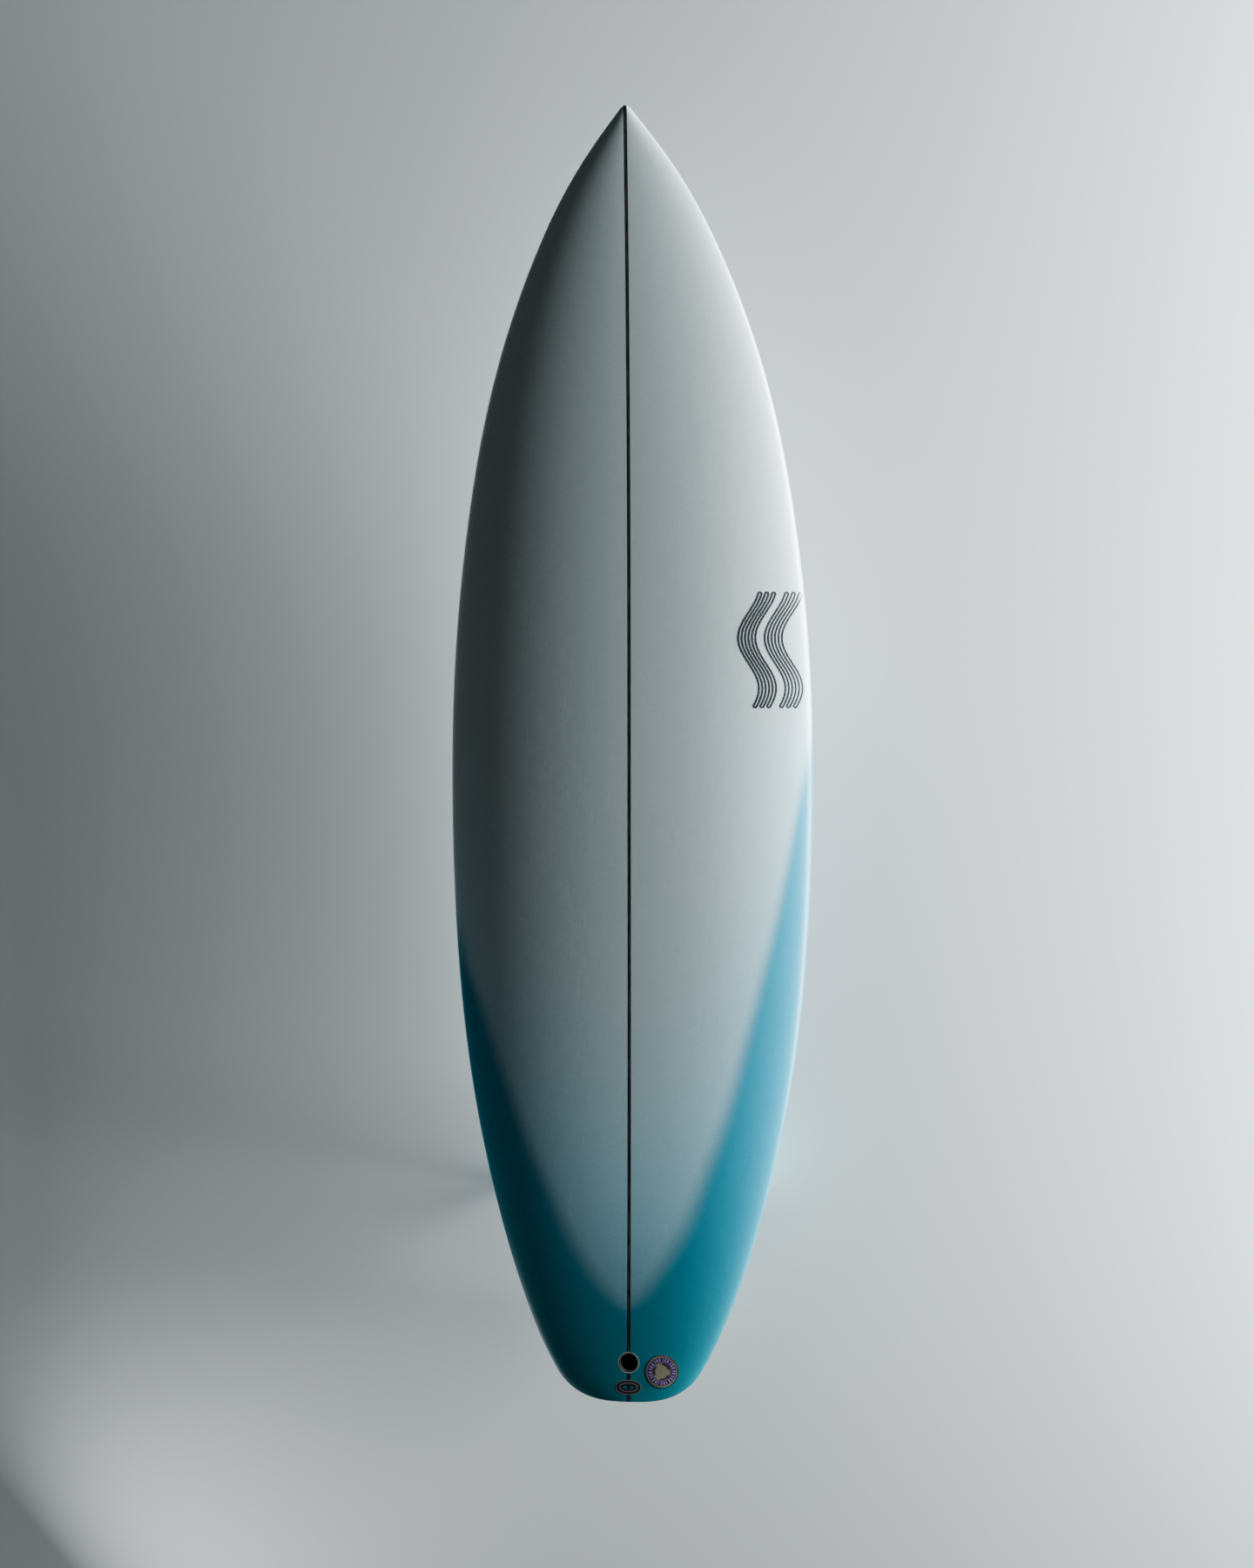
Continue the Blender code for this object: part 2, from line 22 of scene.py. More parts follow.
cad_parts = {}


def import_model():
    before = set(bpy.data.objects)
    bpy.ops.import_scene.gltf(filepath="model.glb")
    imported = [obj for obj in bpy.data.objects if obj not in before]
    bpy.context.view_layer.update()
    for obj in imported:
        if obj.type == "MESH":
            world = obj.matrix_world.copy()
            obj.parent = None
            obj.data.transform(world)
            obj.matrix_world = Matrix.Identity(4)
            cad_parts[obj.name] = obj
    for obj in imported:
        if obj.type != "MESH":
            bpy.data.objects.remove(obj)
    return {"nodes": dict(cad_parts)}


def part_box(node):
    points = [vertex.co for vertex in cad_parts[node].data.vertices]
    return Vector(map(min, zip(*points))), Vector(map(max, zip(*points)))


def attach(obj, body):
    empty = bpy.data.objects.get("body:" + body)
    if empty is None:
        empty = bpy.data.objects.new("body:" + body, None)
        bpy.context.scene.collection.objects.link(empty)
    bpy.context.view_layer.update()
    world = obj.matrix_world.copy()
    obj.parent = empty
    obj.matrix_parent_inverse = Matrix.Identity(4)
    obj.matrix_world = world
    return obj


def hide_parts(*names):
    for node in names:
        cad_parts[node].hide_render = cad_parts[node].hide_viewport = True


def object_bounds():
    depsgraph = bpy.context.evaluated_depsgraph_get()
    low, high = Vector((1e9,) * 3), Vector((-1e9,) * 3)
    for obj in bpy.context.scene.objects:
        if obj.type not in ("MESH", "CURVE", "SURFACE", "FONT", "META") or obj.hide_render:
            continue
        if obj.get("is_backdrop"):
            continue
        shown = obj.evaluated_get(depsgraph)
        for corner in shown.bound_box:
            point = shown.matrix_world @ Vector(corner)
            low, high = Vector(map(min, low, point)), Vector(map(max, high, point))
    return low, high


LOG = logging.getLogger("surfboard")
BOARD_BODY = "board"
MILLIMETRE = 0.001

Color = tuple[float, float, float]
Point = tuple[float, float, float]
Ring = Sequence[Point]
Path = list[tuple[float, float]]


class Side(Enum):
    """Where a fin stands: its name's ending and its side of the centre line."""

    LEFT = ("left", -1)
    RIGHT = ("right", 1)
    CENTER = ("center", 0)

    @property
    def label(self) -> str:
        """The ending of the names of its pieces."""
        return self.value[0]

    @property
    def sign(self) -> int:
        """The sign of X on its side, or 0 on the centre line."""
        return self.value[1]


class Slot(Enum):
    """The record's finishes."""

    DECK = "deck_skin"
    BOTTOM = "bottom_skin"
    FOAM = "foam"
    WOOD = "stringer_wood"
    PLUG = "plug_black"
    PIN = "plug_pin"
    RESIN = "clear_resin"
    BOX = "fin_box_plastic"
    FIN = "fin_composite"
    SCREW = "screw_steel"
    INK = "mark_ink"
    STICKER = "sticker"


# ---------------------------------------------------------------- shader nodes


class Signal:
    """One output of a shader node, on which Python's operators add Math nodes."""

    def __init__(self, tree: ShaderTree, socket: bpy.types.NodeSocket) -> None:
        """Wraps a socket of a tree."""
        self.tree = tree
        self.socket = socket

    def __add__(self, other: Signal | float) -> Signal:
        """Adds."""
        return self.tree.math("ADD", self, other)

    def __sub__(self, other: Signal | float) -> Signal:
        """Takes away."""
        return self.tree.math("SUBTRACT", self, other)

    def __rsub__(self, other: float) -> Signal:
        """Takes this away from a number."""
        return self.tree.math("SUBTRACT", other, self)

    def __mul__(self, other: Signal | float) -> Signal:
        """Multiplies."""
        return self.tree.math("MULTIPLY", self, other)

    def __truediv__(self, other: Signal | float) -> Signal:
        """Divides."""
        return self.tree.math("DIVIDE", self, other)

    def __pow__(self, other: float) -> Signal:
        """Raises to a power."""
        return self.tree.math("POWER", self, other)

    def __abs__(self) -> Signal:
        """Drops the sign."""
        return self.tree.math("ABSOLUTE", self)

    __radd__ = __add__
    __rmul__ = __mul__


Feed = Signal | bpy.types.NodeSocket | float | Sequence[float]


class ShaderTree:
    """The nodes of one material, which read the piece's own coordinates."""

    def __init__(self, name: str) -> None:
        """Makes the material with its shader, and splits the place into X, Y and Z."""
        self.material = bpy.data.materials.new(name)
        self.material.use_nodes = True
        self.nodes = self.material.node_tree.nodes
        self.shader = self.nodes["Principled BSDF"]
        self.place = self.node("ShaderNodeTexCoord").outputs["Object"]
        split = self.node("ShaderNodeSeparateXYZ", inputs={0: self.place}).outputs
        self.x, self.y, self.z = (Signal(self, socket) for socket in split)

    def node(
        self,
        kind: str,
        settings: dict[str, Any] | None = None,
        inputs: dict[int | str, Feed] | None = None,
    ) -> bpy.types.Node:
        """Adds one node.

        Args:
            kind: the node's type.
            settings: its own settings, set first.
            inputs: a value or a link for each socket, by name or number.

        Returns:
            The node.
        """
        made = self.nodes.new(kind)
        for name, value in (settings or {}).items():
            setattr(made, name, value)
        for key, value in (inputs or {}).items():
            self.feed(made.inputs[key], value)
        return made

    def feed(self, socket: bpy.types.NodeSocket, value: Feed) -> None:
        """Links a socket to an output, or sets its number, vector or colour."""
        if isinstance(value, Signal):
            value = value.socket
        if isinstance(value, bpy.types.NodeSocket):
            self.material.node_tree.links.new(value, socket)
        else:
            socket.default_value = value

    def math(self, operation: str, *values: Feed) -> Signal:
        """Adds a Math node and returns its result."""
        made = self.node("ShaderNodeMath", {"operation": operation}, dict(enumerate(values)))
        return Signal(self, made.outputs[0])

    def step(self, value: Feed, low: float, high: float) -> Signal:
        """Rises smoothly from 0 where a value is low to 1 where it is high."""
        made = self.node(
            "ShaderNodeMapRange",
            {"interpolation_type": "SMOOTHSTEP"},
            {"Value": value, "From Min": low, "From Max": high},
        )
        return Signal(self, made.outputs["Result"])

    def stretched(self, scale: Point, turn: Point = (0.0, 0.0, 0.0)) -> bpy.types.NodeSocket:
        """The piece's own coordinates, turned by angles and then scaled along each axis."""
        inputs = {"Vector": self.place, "Rotation": turn}
        turned = self.node("ShaderNodeMapping", inputs=inputs).outputs[0]
        made = self.node("ShaderNodeMapping", inputs={"Vector": turned, "Scale": scale})
        return made.outputs[0]

    def noise(
        self,
        scale: float,
        detail: float = 2.0,
        place: bpy.types.NodeSocket | None = None,
        roughness: float = 0.5,
    ) -> Signal:
        """Soft cloudy noise from 0 to 1.

        Args:
            scale: how many blotches lie along a metre, roughly.
            detail: how many finer layers are added.
            place: the coordinates it reads, or none for the piece's own.
            roughness: the weight of the finer layers.

        Returns:
            The noise's strength.
        """
        inputs = {"Vector": place or self.place, "Scale": scale, "Detail": detail}
        made = self.node("ShaderNodeTexNoise", inputs={**inputs, "Roughness": roughness})
        return Signal(self, made.outputs[0])

    def cells(self, scale: float) -> Signal:
        """The distance from the middle of the nearest of many scattered cells."""
        inputs = {"Vector": self.place, "Scale": scale}
        return Signal(self, self.node("ShaderNodeTexVoronoi", inputs=inputs).outputs["Distance"])

    def weave(self, pitch: float, across: Signal, along: Signal) -> Signal:
        """The height of a plain weave with a pitch between its threads, from 0 to 1."""
        turn = math.pi / pitch
        one = abs(self.math("SINE", across * turn))
        other = abs(self.math("SINE", along * turn))
        return one * other

    def mix(self, share: Feed, first: Feed, second: Feed) -> bpy.types.NodeSocket:
        """Mixes two colours, of three numbers or linked, by the second one's share."""
        pair = [(*color, 1.0) if isinstance(color, tuple) else color for color in (first, second)]
        inputs = {0: share, 6: pair[0], 7: pair[1]}
        return self.node("ShaderNodeMix", {"data_type": "RGBA"}, inputs).outputs[2]

    def shade(self, color: bpy.types.NodeSocket, strength: Signal) -> bpy.types.NodeSocket:
        """Makes a colour lighter or darker by a factor near 1."""
        grey = self.node("ShaderNodeCombineColor", inputs=dict.fromkeys(range(3), strength))
        settings = {"operation": "MULTIPLY"}
        made = self.node("ShaderNodeVectorMath", settings, {0: color, 1: grey.outputs[0]})
        return made.outputs[0]

    def dress(self, color: Feed, roughness: Feed, **constants: float) -> None:
        """Feeds the shader.

        Args:
            color: the base colour.
            roughness: the roughness.
            **constants: plain values of other sockets, by name with underscores.
        """
        self.feed(self.shader.inputs["Base Color"], color)
        self.feed(self.shader.inputs["Roughness"], roughness)
        for name, value in constants.items():
            label = name.replace("_", " ").title().replace("Ior", "IOR")
            self.shader.inputs[label].default_value = value

    def raise_by(self, height: Signal, depth: float) -> None:
        """Bumps the surface by a relief from 0 to 1, whose full depth is in metres."""
        inputs = {"Strength": 1.0, "Distance": depth, "Height": height}
        made = self.node("ShaderNodeBump", inputs=inputs)
        self.feed(self.shader.inputs["Normal"], made.outputs[0])


# -------------------------------------------------------------------- finishes


@dataclass(frozen=True)
class Finish:
    """A finish, made into a material when it is first asked for."""

    name: str

    def material(self) -> bpy.types.Material:
        """The finish's material, made once."""
        found = bpy.data.materials.get(self.name)
        if found:
            return found
        tree = ShaderTree(self.name)
        self.paint(tree)
        return tree.material

    def paint(self, tree: ShaderTree) -> None:
        """Adds the finish's own nodes to its tree."""
        raise NotImplementedError


@dataclass(frozen=True)
class SprayedGlass(Finish):
    """Clear glass over white foam, with a teal spray from the tail up along the rails.

    The spray's edge follows a power curve that starts on the centre line, spreads forwards and
    leans a little to one side. Outside it the spray is dense. Inside it a haze of drifting
    droplets thins out, slowest near the tail.
    """

    length: float = 1.727
    white: Color = (0.575, 0.665, 0.68)
    thin_teal: Color = (0.0, 0.49, 0.71)
    teal: Color = (0.0, 0.235, 0.355)
    deep_teal: Color = (0.0, 0.140, 0.184)
    deepest_station: float = -0.04
    lightest_station: float = 0.46
    spray_start: float = 0.125
    spray_span: float = 0.356
    spray_reach: float = 0.1735
    spray_curve: float = 0.60
    fade: float = 0.036
    fade_narrows: float = 0.030
    least_fade: float = 0.012
    haze: float = 0.60
    haze_thins: float = 0.33
    haze_fall: float = 0.045
    lean: float = 0.034
    stringer_half: float = 0.0023
    glue_line: float = 0.0009
    glue: Color = (0.004, 0.0045, 0.0045)
    cloth_pitch: float = 1.4 * MILLIMETRE

    def _spray(self, tree: ShaderTree, station: Signal) -> Signal:
        """How much spray there is, from 0 to 1: one pass along each rail, which overlap.

        Args:
            tree: the material's nodes.
            station: the distance from the tail.

        Returns:
            The spray's cover.
        """
        ahead = tree.math("MAXIMUM", station - self.spray_start, 0.0)
        edge = (ahead / self.spray_span) ** self.spray_curve * self.spray_reach
        edge = edge - tree.math("MAXIMUM", self.spray_start - station, 0.0) * 0.6
        edge = edge + (tree.noise(6.0, 1.0) - 0.5) * 0.012
        across = tree.x + station * self.lean
        narrowed = self.fade - station * self.fade_narrows
        fade = tree.math("MAXIMUM", narrowed, self.least_fade)
        bare = 1.0 - tree.step((abs(across) - edge) / fade, -1.0, 0.6)
        haze = self.haze - station * self.haze_thins
        for beyond in (across - edge, -1.0 * across - edge):
            depth = tree.math("MINIMUM", beyond, 0.0) * station / self.haze_fall
            bare = bare * (1.0 - tree.math("EXPONENT", depth) * haze)
        cover = 1.0 - bare
        droplets = (tree.noise(1100.0, 1.0) - 0.5) * 1.1
        return cover + cover * bare * droplets

    def paint(self, tree: ShaderTree) -> None:
        """Lays foam, spray, stringer and sanded gloss over each other."""
        station = tree.y + self.length / 2
        spray = self._spray(tree, station)
        across = abs(tree.x)
        light = tree.step(station, self.deepest_station, self.lightest_station)
        teal = tree.mix(light, self.deep_teal, self.teal)
        teal = tree.mix(tree.step(spray, 0.20, 0.9), self.thin_teal, teal)
        color = tree.mix(spray, self.white, teal)
        cloudy = (tree.noise(3.2, 3.0) - 0.5) * 0.05 + (tree.noise(110.0, 2.0) - 0.5) * 0.07
        speckle = (tree.noise(420.0, 3.0, roughness=0.7) - 0.5) * 0.30
        cloth = tree.weave(self.cloth_pitch, tree.x, tree.y)
        color = tree.shade(color, 0.985 + cloudy + speckle + cloth * 0.02)
        grain = tree.noise(60.0, 3.0, tree.stretched((6.0, 0.6, 6.0)))
        wood = tree.mix(tree.step(grain, 0.42, 0.6), (0.012, 0.012, 0.012), (0.05, 0.05, 0.048))
        half, glue = self.stringer_half, self.glue_line
        middle = 1.0 - tree.step(across, half - 2 * glue, half - glue)
        strip = tree.mix(middle, self.glue, wood)
        line = 1.0 - tree.step(across, half - 0.0002, half + 0.0003)
        color = tree.mix(line, color, strip)
        lengthways = tree.noise(240.0, 3.0, tree.stretched((1.0, 0.03, 1.0), (0.0, 0.0, 0.12)))
        crossways = tree.noise(240.0, 3.0, tree.stretched((1.0, 0.03, 1.0), (0.0, 0.0, -0.9)))
        scratches = lengthways * 0.6 + crossways * 0.4
        smudge = tree.noise(5.0, 2.0)
        tree.dress(
            color,
            0.36 + (scratches - 0.5) * 0.16 + (smudge - 0.5) * 0.08,
            coat_roughness=0.33,
            specular_ior_level=0.3,
        )
        tree.feed(tree.shader.inputs["Coat Weight"], 1.0 - spray * 0.95)
        ripple = tree.noise(45.0, 1.0)
        relief = scratches * 0.25 + cloth * 0.05 + ripple * 0.6
        tree.raise_by(relief, 0.00015)


@dataclass(frozen=True)
class Plastic(Finish):
    """Moulded plastic with a fine grain."""

    color: Color = (0.018, 0.018, 0.020)
    roughness: float = 0.42
    grain: float = 1800.0
    gloss: float = 0.5

    def paint(self, tree: ShaderTree) -> None:
        """A speckled grain, with paler scuffs."""
        grain = tree.noise(self.grain, 2.0)
        scuff = tree.step(tree.noise(140.0, 4.0, roughness=0.7), 0.58, 0.72)
        paler = tuple(part * 2.2 + 0.002 for part in self.color)
        color = tree.mix(scuff * 0.5, self.color, paler)
        dull = self.roughness + grain * 0.12
        tree.dress(tree.shade(color, 0.8 + grain * 0.4), dull, specular_ior_level=self.gloss)
        tree.raise_by(grain, 0.00004)


@dataclass(frozen=True)
class Steel(Finish):
    """Drawn stainless steel."""

    color: Color = (0.52, 0.53, 0.54)
    along: Point = (40.0, 900.0, 900.0)

    def paint(self, tree: ShaderTree) -> None:
        """Fine lines along the piece, with a few darker stains."""
        lines = tree.noise(1.0, 3.0, tree.stretched(self.along))
        stain = tree.step(tree.noise(300.0, 3.0), 0.55, 0.75)
        dark = tuple(part * 0.55 for part in self.color)
        color = tree.mix(stain * 0.5, self.color, dark)
        tree.dress(tree.shade(color, 0.85 + lines * 0.3), 0.22 + lines * 0.2, metallic=1.0)
        tree.raise_by(lines, 0.00002)


@dataclass(frozen=True)
class Resin(Finish):
    """Cured milky resin with small bubbles."""

    color: Color = (0.62, 0.64, 0.60)

    def paint(self, tree: ShaderTree) -> None:
        """A cloudy body with scattered pinprick bubbles."""
        bubbles = tree.step(tree.cells(900.0), 0.0, 0.22)
        cloudy = tree.noise(120.0, 3.0)
        amber = tuple(part * tint for part, tint in zip(self.color, (0.86, 0.80, 0.66)))
        color = tree.mix(tree.step(cloudy, 0.35, 0.7), self.color, amber)
        tree.dress(tree.shade(color, 0.78 + bubbles * 0.22), 0.2 + cloudy * 0.15)
        tree.raise_by(bubbles, 0.00003)


@dataclass(frozen=True)
class Foam(Finish):
    """Fine closed-cell foam, planed and sanded."""

    color: Color = (0.88, 0.86, 0.78)

    def paint(self, tree: ShaderTree) -> None:
        """Open cells and the long marks of the planer."""
        cells = tree.cells(1600.0)
        planed = tree.noise(90.0, 2.0, tree.stretched((1.0, 0.06, 1.0)))
        edge = tuple(part * 0.9 for part in self.color)
        color = tree.mix(tree.step(cells, 0.1, 0.6), edge, self.color)
        tree.dress(tree.shade(color, 0.94 + planed * 0.1), 0.85 + cells * 0.1)
        tree.raise_by(cells * 0.6 + planed * 0.4, 0.00015)


@dataclass(frozen=True)
class Ply(Finish):
    """A thin stained ply stringer on edge."""

    light: Color = (0.10, 0.075, 0.055)
    dark: Color = (0.022, 0.018, 0.016)

    def paint(self, tree: ShaderTree) -> None:
        """Long grain, with pores."""
        grain = tree.noise(70.0, 4.0, tree.stretched((1.0, 0.05, 1.6)))
        pores = tree.noise(900.0, 2.0, tree.stretched((1.0, 0.04, 1.0)))
        color = tree.mix(tree.step(grain + pores * 0.2, 0.45, 0.75), self.dark, self.light)
        tree.dress(color, 0.55 + pores * 0.2)
        tree.raise_by(pores, 0.00008)


@dataclass(frozen=True)
class FinComposite(Finish):
    """Moulded glass fibre: teal at the root and clearer towards a pale edge, over a woven core."""

    top: float = 0.118
    root: Color = (0.001, 0.060, 0.085)
    tip: Color = (0.004, 0.130, 0.170)

    def paint(self, tree: ShaderTree) -> None:
        """The woven cloth shows through the resin, finest along the mould's sheen."""
        low = tree.step(tree.z, self.top - 0.115, self.top)
        cloth = tree.weave(0.0016, tree.y + tree.z * 0.5, tree.z - tree.y * 0.5)
        clouds = tree.noise(60.0, 3.0)
        color = tree.mix(low, self.tip, self.root)
        color = tree.shade(color, 0.76 + cloth * 0.34 + clouds * 0.14)
        flow = tree.noise(110.0, 2.0, tree.stretched((1.0, 1.0, 0.15)))
        tree.dress(color, 0.26 + flow * 0.1, coat_weight=0.25, coat_roughness=0.12)
        tree.raise_by(cloth * 0.3 + flow * 0.7, 0.00004)


@dataclass(frozen=True)
class Print(Finish):
    """Ink or a printed film, worn in small spots."""

    color: Color = (0.010, 0.011, 0.012)
    worn: Color = (0.05, 0.055, 0.058)
    roughness: float = 0.34

    def paint(self, tree: ShaderTree) -> None:
        """Even ink with a faint dot screen and a few thin places."""
        thin = tree.step(tree.noise(260.0, 4.0, roughness=0.7), 0.56, 0.72)
        dots = tree.weave(0.0005, tree.x + tree.y, tree.x - tree.y)
        color = tree.mix(thin * 0.6, self.color, self.worn)
        dull = self.roughness + thin * 0.1
        tree.dress(tree.shade(color, 0.92 + dots * 0.16), dull, specular_ior_level=0.15)
        tree.raise_by(thin * 0.5 + dots * 0.5, 0.00002)


@dataclass(frozen=True)
class StudioFloor(Finish):
    """A plain pale floor."""

    color: Color = (0.84, 0.85, 0.855)

    def paint(self, tree: ShaderTree) -> None:
        """Hardly any variation."""
        clouds = tree.noise(1.3, 2.0)
        color = tree.mix(clouds, self.color, tuple(part * 0.97 for part in self.color))
        tree.dress(color, 0.7 + clouds * 0.05)


# --------------------------------------------------------------------- shaping


def wrapped(rings: Sequence[Ring], closed: bool = True) -> bmesh.types.BMesh:
    """Lays a grid through rings of points.

    Args:
        rings: the points of each ring, with the same number in each.
        closed: whether each ring closes on itself; the two ends are then filled.

    Returns:
        The surface.
    """
    rows = len(rings) - 1
    columns = len(rings[0]) - (0 if closed else 1)
    bm = bmesh.new()
    bmesh.ops.create_grid(bm, x_segments=columns, y_segments=rows, size=1)
    for vert in bm.verts:
        column = round((vert.co.x + 1) / 2 * columns)
        row = round((vert.co.y + 1) / 2 * rows)
        vert.co = rings[row][column % len(rings[0])]
    if closed:
        bmesh.ops.remove_doubles(bm, verts=bm.verts[:], dist=1e-6)
        rim = [edge for edge in bm.edges if edge.is_boundary]
        bmesh.ops.holes_fill(bm, edges=rim, sides=0)
        bmesh.ops.recalc_face_normals(bm, faces=bm.faces[:])
    return bm


def turned(profile: Sequence[tuple[float, float]], steps: int = 72) -> bmesh.types.BMesh:
    """Turns a profile of radius and height about Z, in a number of flats."""
    bm = bmesh.new()
    verts = [bm.verts.new((radius, 0, height)) for radius, height in profile]
    edges = [bm.edges.new(pair) for pair in zip(verts, verts[1:])]
    bmesh.ops.spin(
        bm,
        geom=verts + edges,
        axis=(0, 0, 1),
        cent=(0, 0, 0),
        angle=math.tau,
        steps=steps,
        use_merge=True,
    )
    bmesh.ops.remove_doubles(bm, verts=bm.verts[:], dist=1e-6)
    bmesh.ops.recalc_face_normals(bm, faces=bm.faces[:])
    return bm


def rod(radius: float, length: float, sides: int = 32) -> bmesh.types.BMesh:
    """A round rod centred on the origin, along Z."""
    bm = bmesh.new()
    bmesh.ops.create_cone(
        bm, cap_ends=True, segments=sides, radius1=radius, radius2=radius, depth=length
    )
    return bm


def soften(bm: bmesh.types.BMesh, width: float, segments: int = 2, angle: float = 35) -> None:
    """Rounds the sharp edges.

    Args:
        bm: the body.
        width: how wide the rounding is.
        segments: how many flats it has.
        angle: edges that turn by more than this many degrees are rounded.
    """
    limit = math.radians(angle)
    sharp = [
        edge
        for edge in bm.edges
        if len(edge.link_faces) == 2 and edge.calc_face_angle(0.0) > limit
    ]
    bmesh.ops.bevel(
        bm,
        geom=sharp,
        offset=width,
        affect="EDGES",
        segments=segments,
        profile=0.5,
        material=-1,
        clamp_overlap=True,
    )


def rounded_end(distance: float, radius: float) -> float:
    """How far a round edge has risen at a distance from its end, from 0 to 1."""
    if distance >= radius:
        return 1.0
    return math.sqrt(max(1 - (1 - distance / radius) ** 2, 0.0))


def stadium(front: float, back: float, width: float, height: float, steps: int = 16) -> Ring:
    """A ring with straight sides and round ends, at a height.

    Args:
        front: the ring's end nearest the nose.
        back: its end nearest the tail.
        width: its width.
        height: its height.
        steps: the flats of each round end.

    Returns:
        The ring's points.
    """
    radius = width / 2
    ring = []
    for centre, start in ((front - radius, 0.0), (back + radius, math.pi)):
        for i in range(steps + 1):
            turn = start + math.pi * i / steps
            ring.append((radius * math.cos(turn), centre + radius * math.sin(turn), height))
    return ring


def solid(
    name: str,
    bm: bmesh.types.BMesh,
    finish: Finish,
    matrix: Matrix | None = None,
    smooth: float = 35.0,
) -> bpy.types.Object:
    """Makes an object of a shaped body, with its place in its mesh.

    Args:
        name: the piece's name.
        bm: its shape.
        finish: its finish.
        matrix: where the shape goes.
        smooth: edges that turn by less than this many degrees are shaded round.

    Returns:
        The object, at the origin.
    """
    if matrix is not None:
        bmesh.ops.transform(bm, matrix=matrix, verts=bm.verts[:])
    mesh = bpy.data.meshes.new(name)
    bm.to_mesh(mesh)
    bm.free()
    mesh.materials.append(finish.material())
    made = bpy.data.objects.new(name, mesh)
    bpy.context.scene.collection.objects.link(made)
    shade(made, smooth)
    return made


def shade(target: bpy.types.Object, angle: float = 35.0) -> None:
    """Shades a piece round, with creases where it turns by more than an angle in degrees."""
    target.data.shade_smooth()
    target.data.set_sharp_from_angle(angle=math.radians(angle))


def settle(target: bpy.types.Object) -> None:
    """Makes the effect of a piece's modifiers part of its mesh."""
    graph = bpy.context.evaluated_depsgraph_get()
    shape = bpy.data.meshes.new_from_object(target.evaluated_get(graph))
    target.modifiers.clear()
    before = target.data
    target.data = shape
    bpy.data.meshes.remove(before)


def add_wall(target: bpy.types.Object, thickness: float, offset: float = -1.0) -> None:
    """Gives a sheet its thickness, inwards unless the offset is 1."""
    wall = target.modifiers.new("wall", "SOLIDIFY")
    wall.thickness = thickness
    wall.offset = offset
    wall.use_even_offset = True
    settle(target)


def carve(target: bpy.types.Object, tools: Iterable[bmesh.types.BMesh]) -> None:
    """Cuts shapes out of a piece.

    Args:
        target: the piece.
        tools: closed shapes in its place.
    """
    for tool in tools:
        cutter = solid("cutter", tool, Plastic("cutter"))
        step = target.modifiers.new("cut", "BOOLEAN")
        step.operation = "DIFFERENCE"
        step.solver = "EXACT"
        step.object = cutter
        settle(target)
        mesh = cutter.data
        bpy.data.objects.remove(cutter)
        bpy.data.meshes.remove(mesh)
    while len(target.data.materials) > 1:
        target.data.materials.pop(index=1)


def moved(bm: bmesh.types.BMesh, matrix: Matrix) -> bmesh.types.BMesh:
    """Moves a shape, and returns it."""
    bmesh.ops.transform(bm, matrix=matrix, verts=bm.verts[:])
    return bm


def finish_piece(target: bpy.types.Object, body: str, slot: Slot, *nodes: str) -> None:
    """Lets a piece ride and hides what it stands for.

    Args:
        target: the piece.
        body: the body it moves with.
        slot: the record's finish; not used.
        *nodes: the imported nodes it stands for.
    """
    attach(target, body)
    if nodes:
        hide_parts(*nodes)
    LOG.info("%s: %d faces", target.name, len(target.data.polygons))


# ------------------------------------------------------------- the board itself


class Spline:
    """A smooth curve through points, with a stated slope at each end."""

    def __init__(
        self, points: Sequence[tuple[float, float]], first_slope: float, last_slope: float
    ) -> None:
        """Solves for the slopes at the inner points.

        Args:
            points: places and values, in rising order.
            first_slope: the slope at the first point.
            last_slope: the slope at the last.
        """
        self.x, self.y = np.array(points).T
        step = np.diff(self.x)
        rise = np.diff(self.y) / step
        count = len(self.x)
        rows = np.eye(count)
        right = np.zeros(count)
        right[0], right[-1] = first_slope, last_slope
        for i in range(1, count - 1):
            rows[i, i - 1 : i + 2] = step[i], 2 * (step[i - 1] + step[i]), step[i - 1]
            right[i] = 3 * (step[i] * rise[i - 1] + step[i - 1] * rise[i])
        self.slope = np.linalg.solve(rows, right)

    def __call__(self, at: float) -> float:
        """The curve's value at a place."""
        i = min(max(int(np.searchsorted(self.x, at)) - 1, 0), len(self.x) - 2)
        step = self.x[i + 1] - self.x[i]
        t = (at - self.x[i]) / step
        value = (2 * t**3 - 3 * t**2 + 1) * self.y[i] + (3 * t**2 - 2 * t**3) * self.y[i + 1]
        value += step * (t**3 - 2 * t**2 + t) * self.slope[i]
        value += step * (t**3 - t**2) * self.slope[i + 1]
        return float(value)


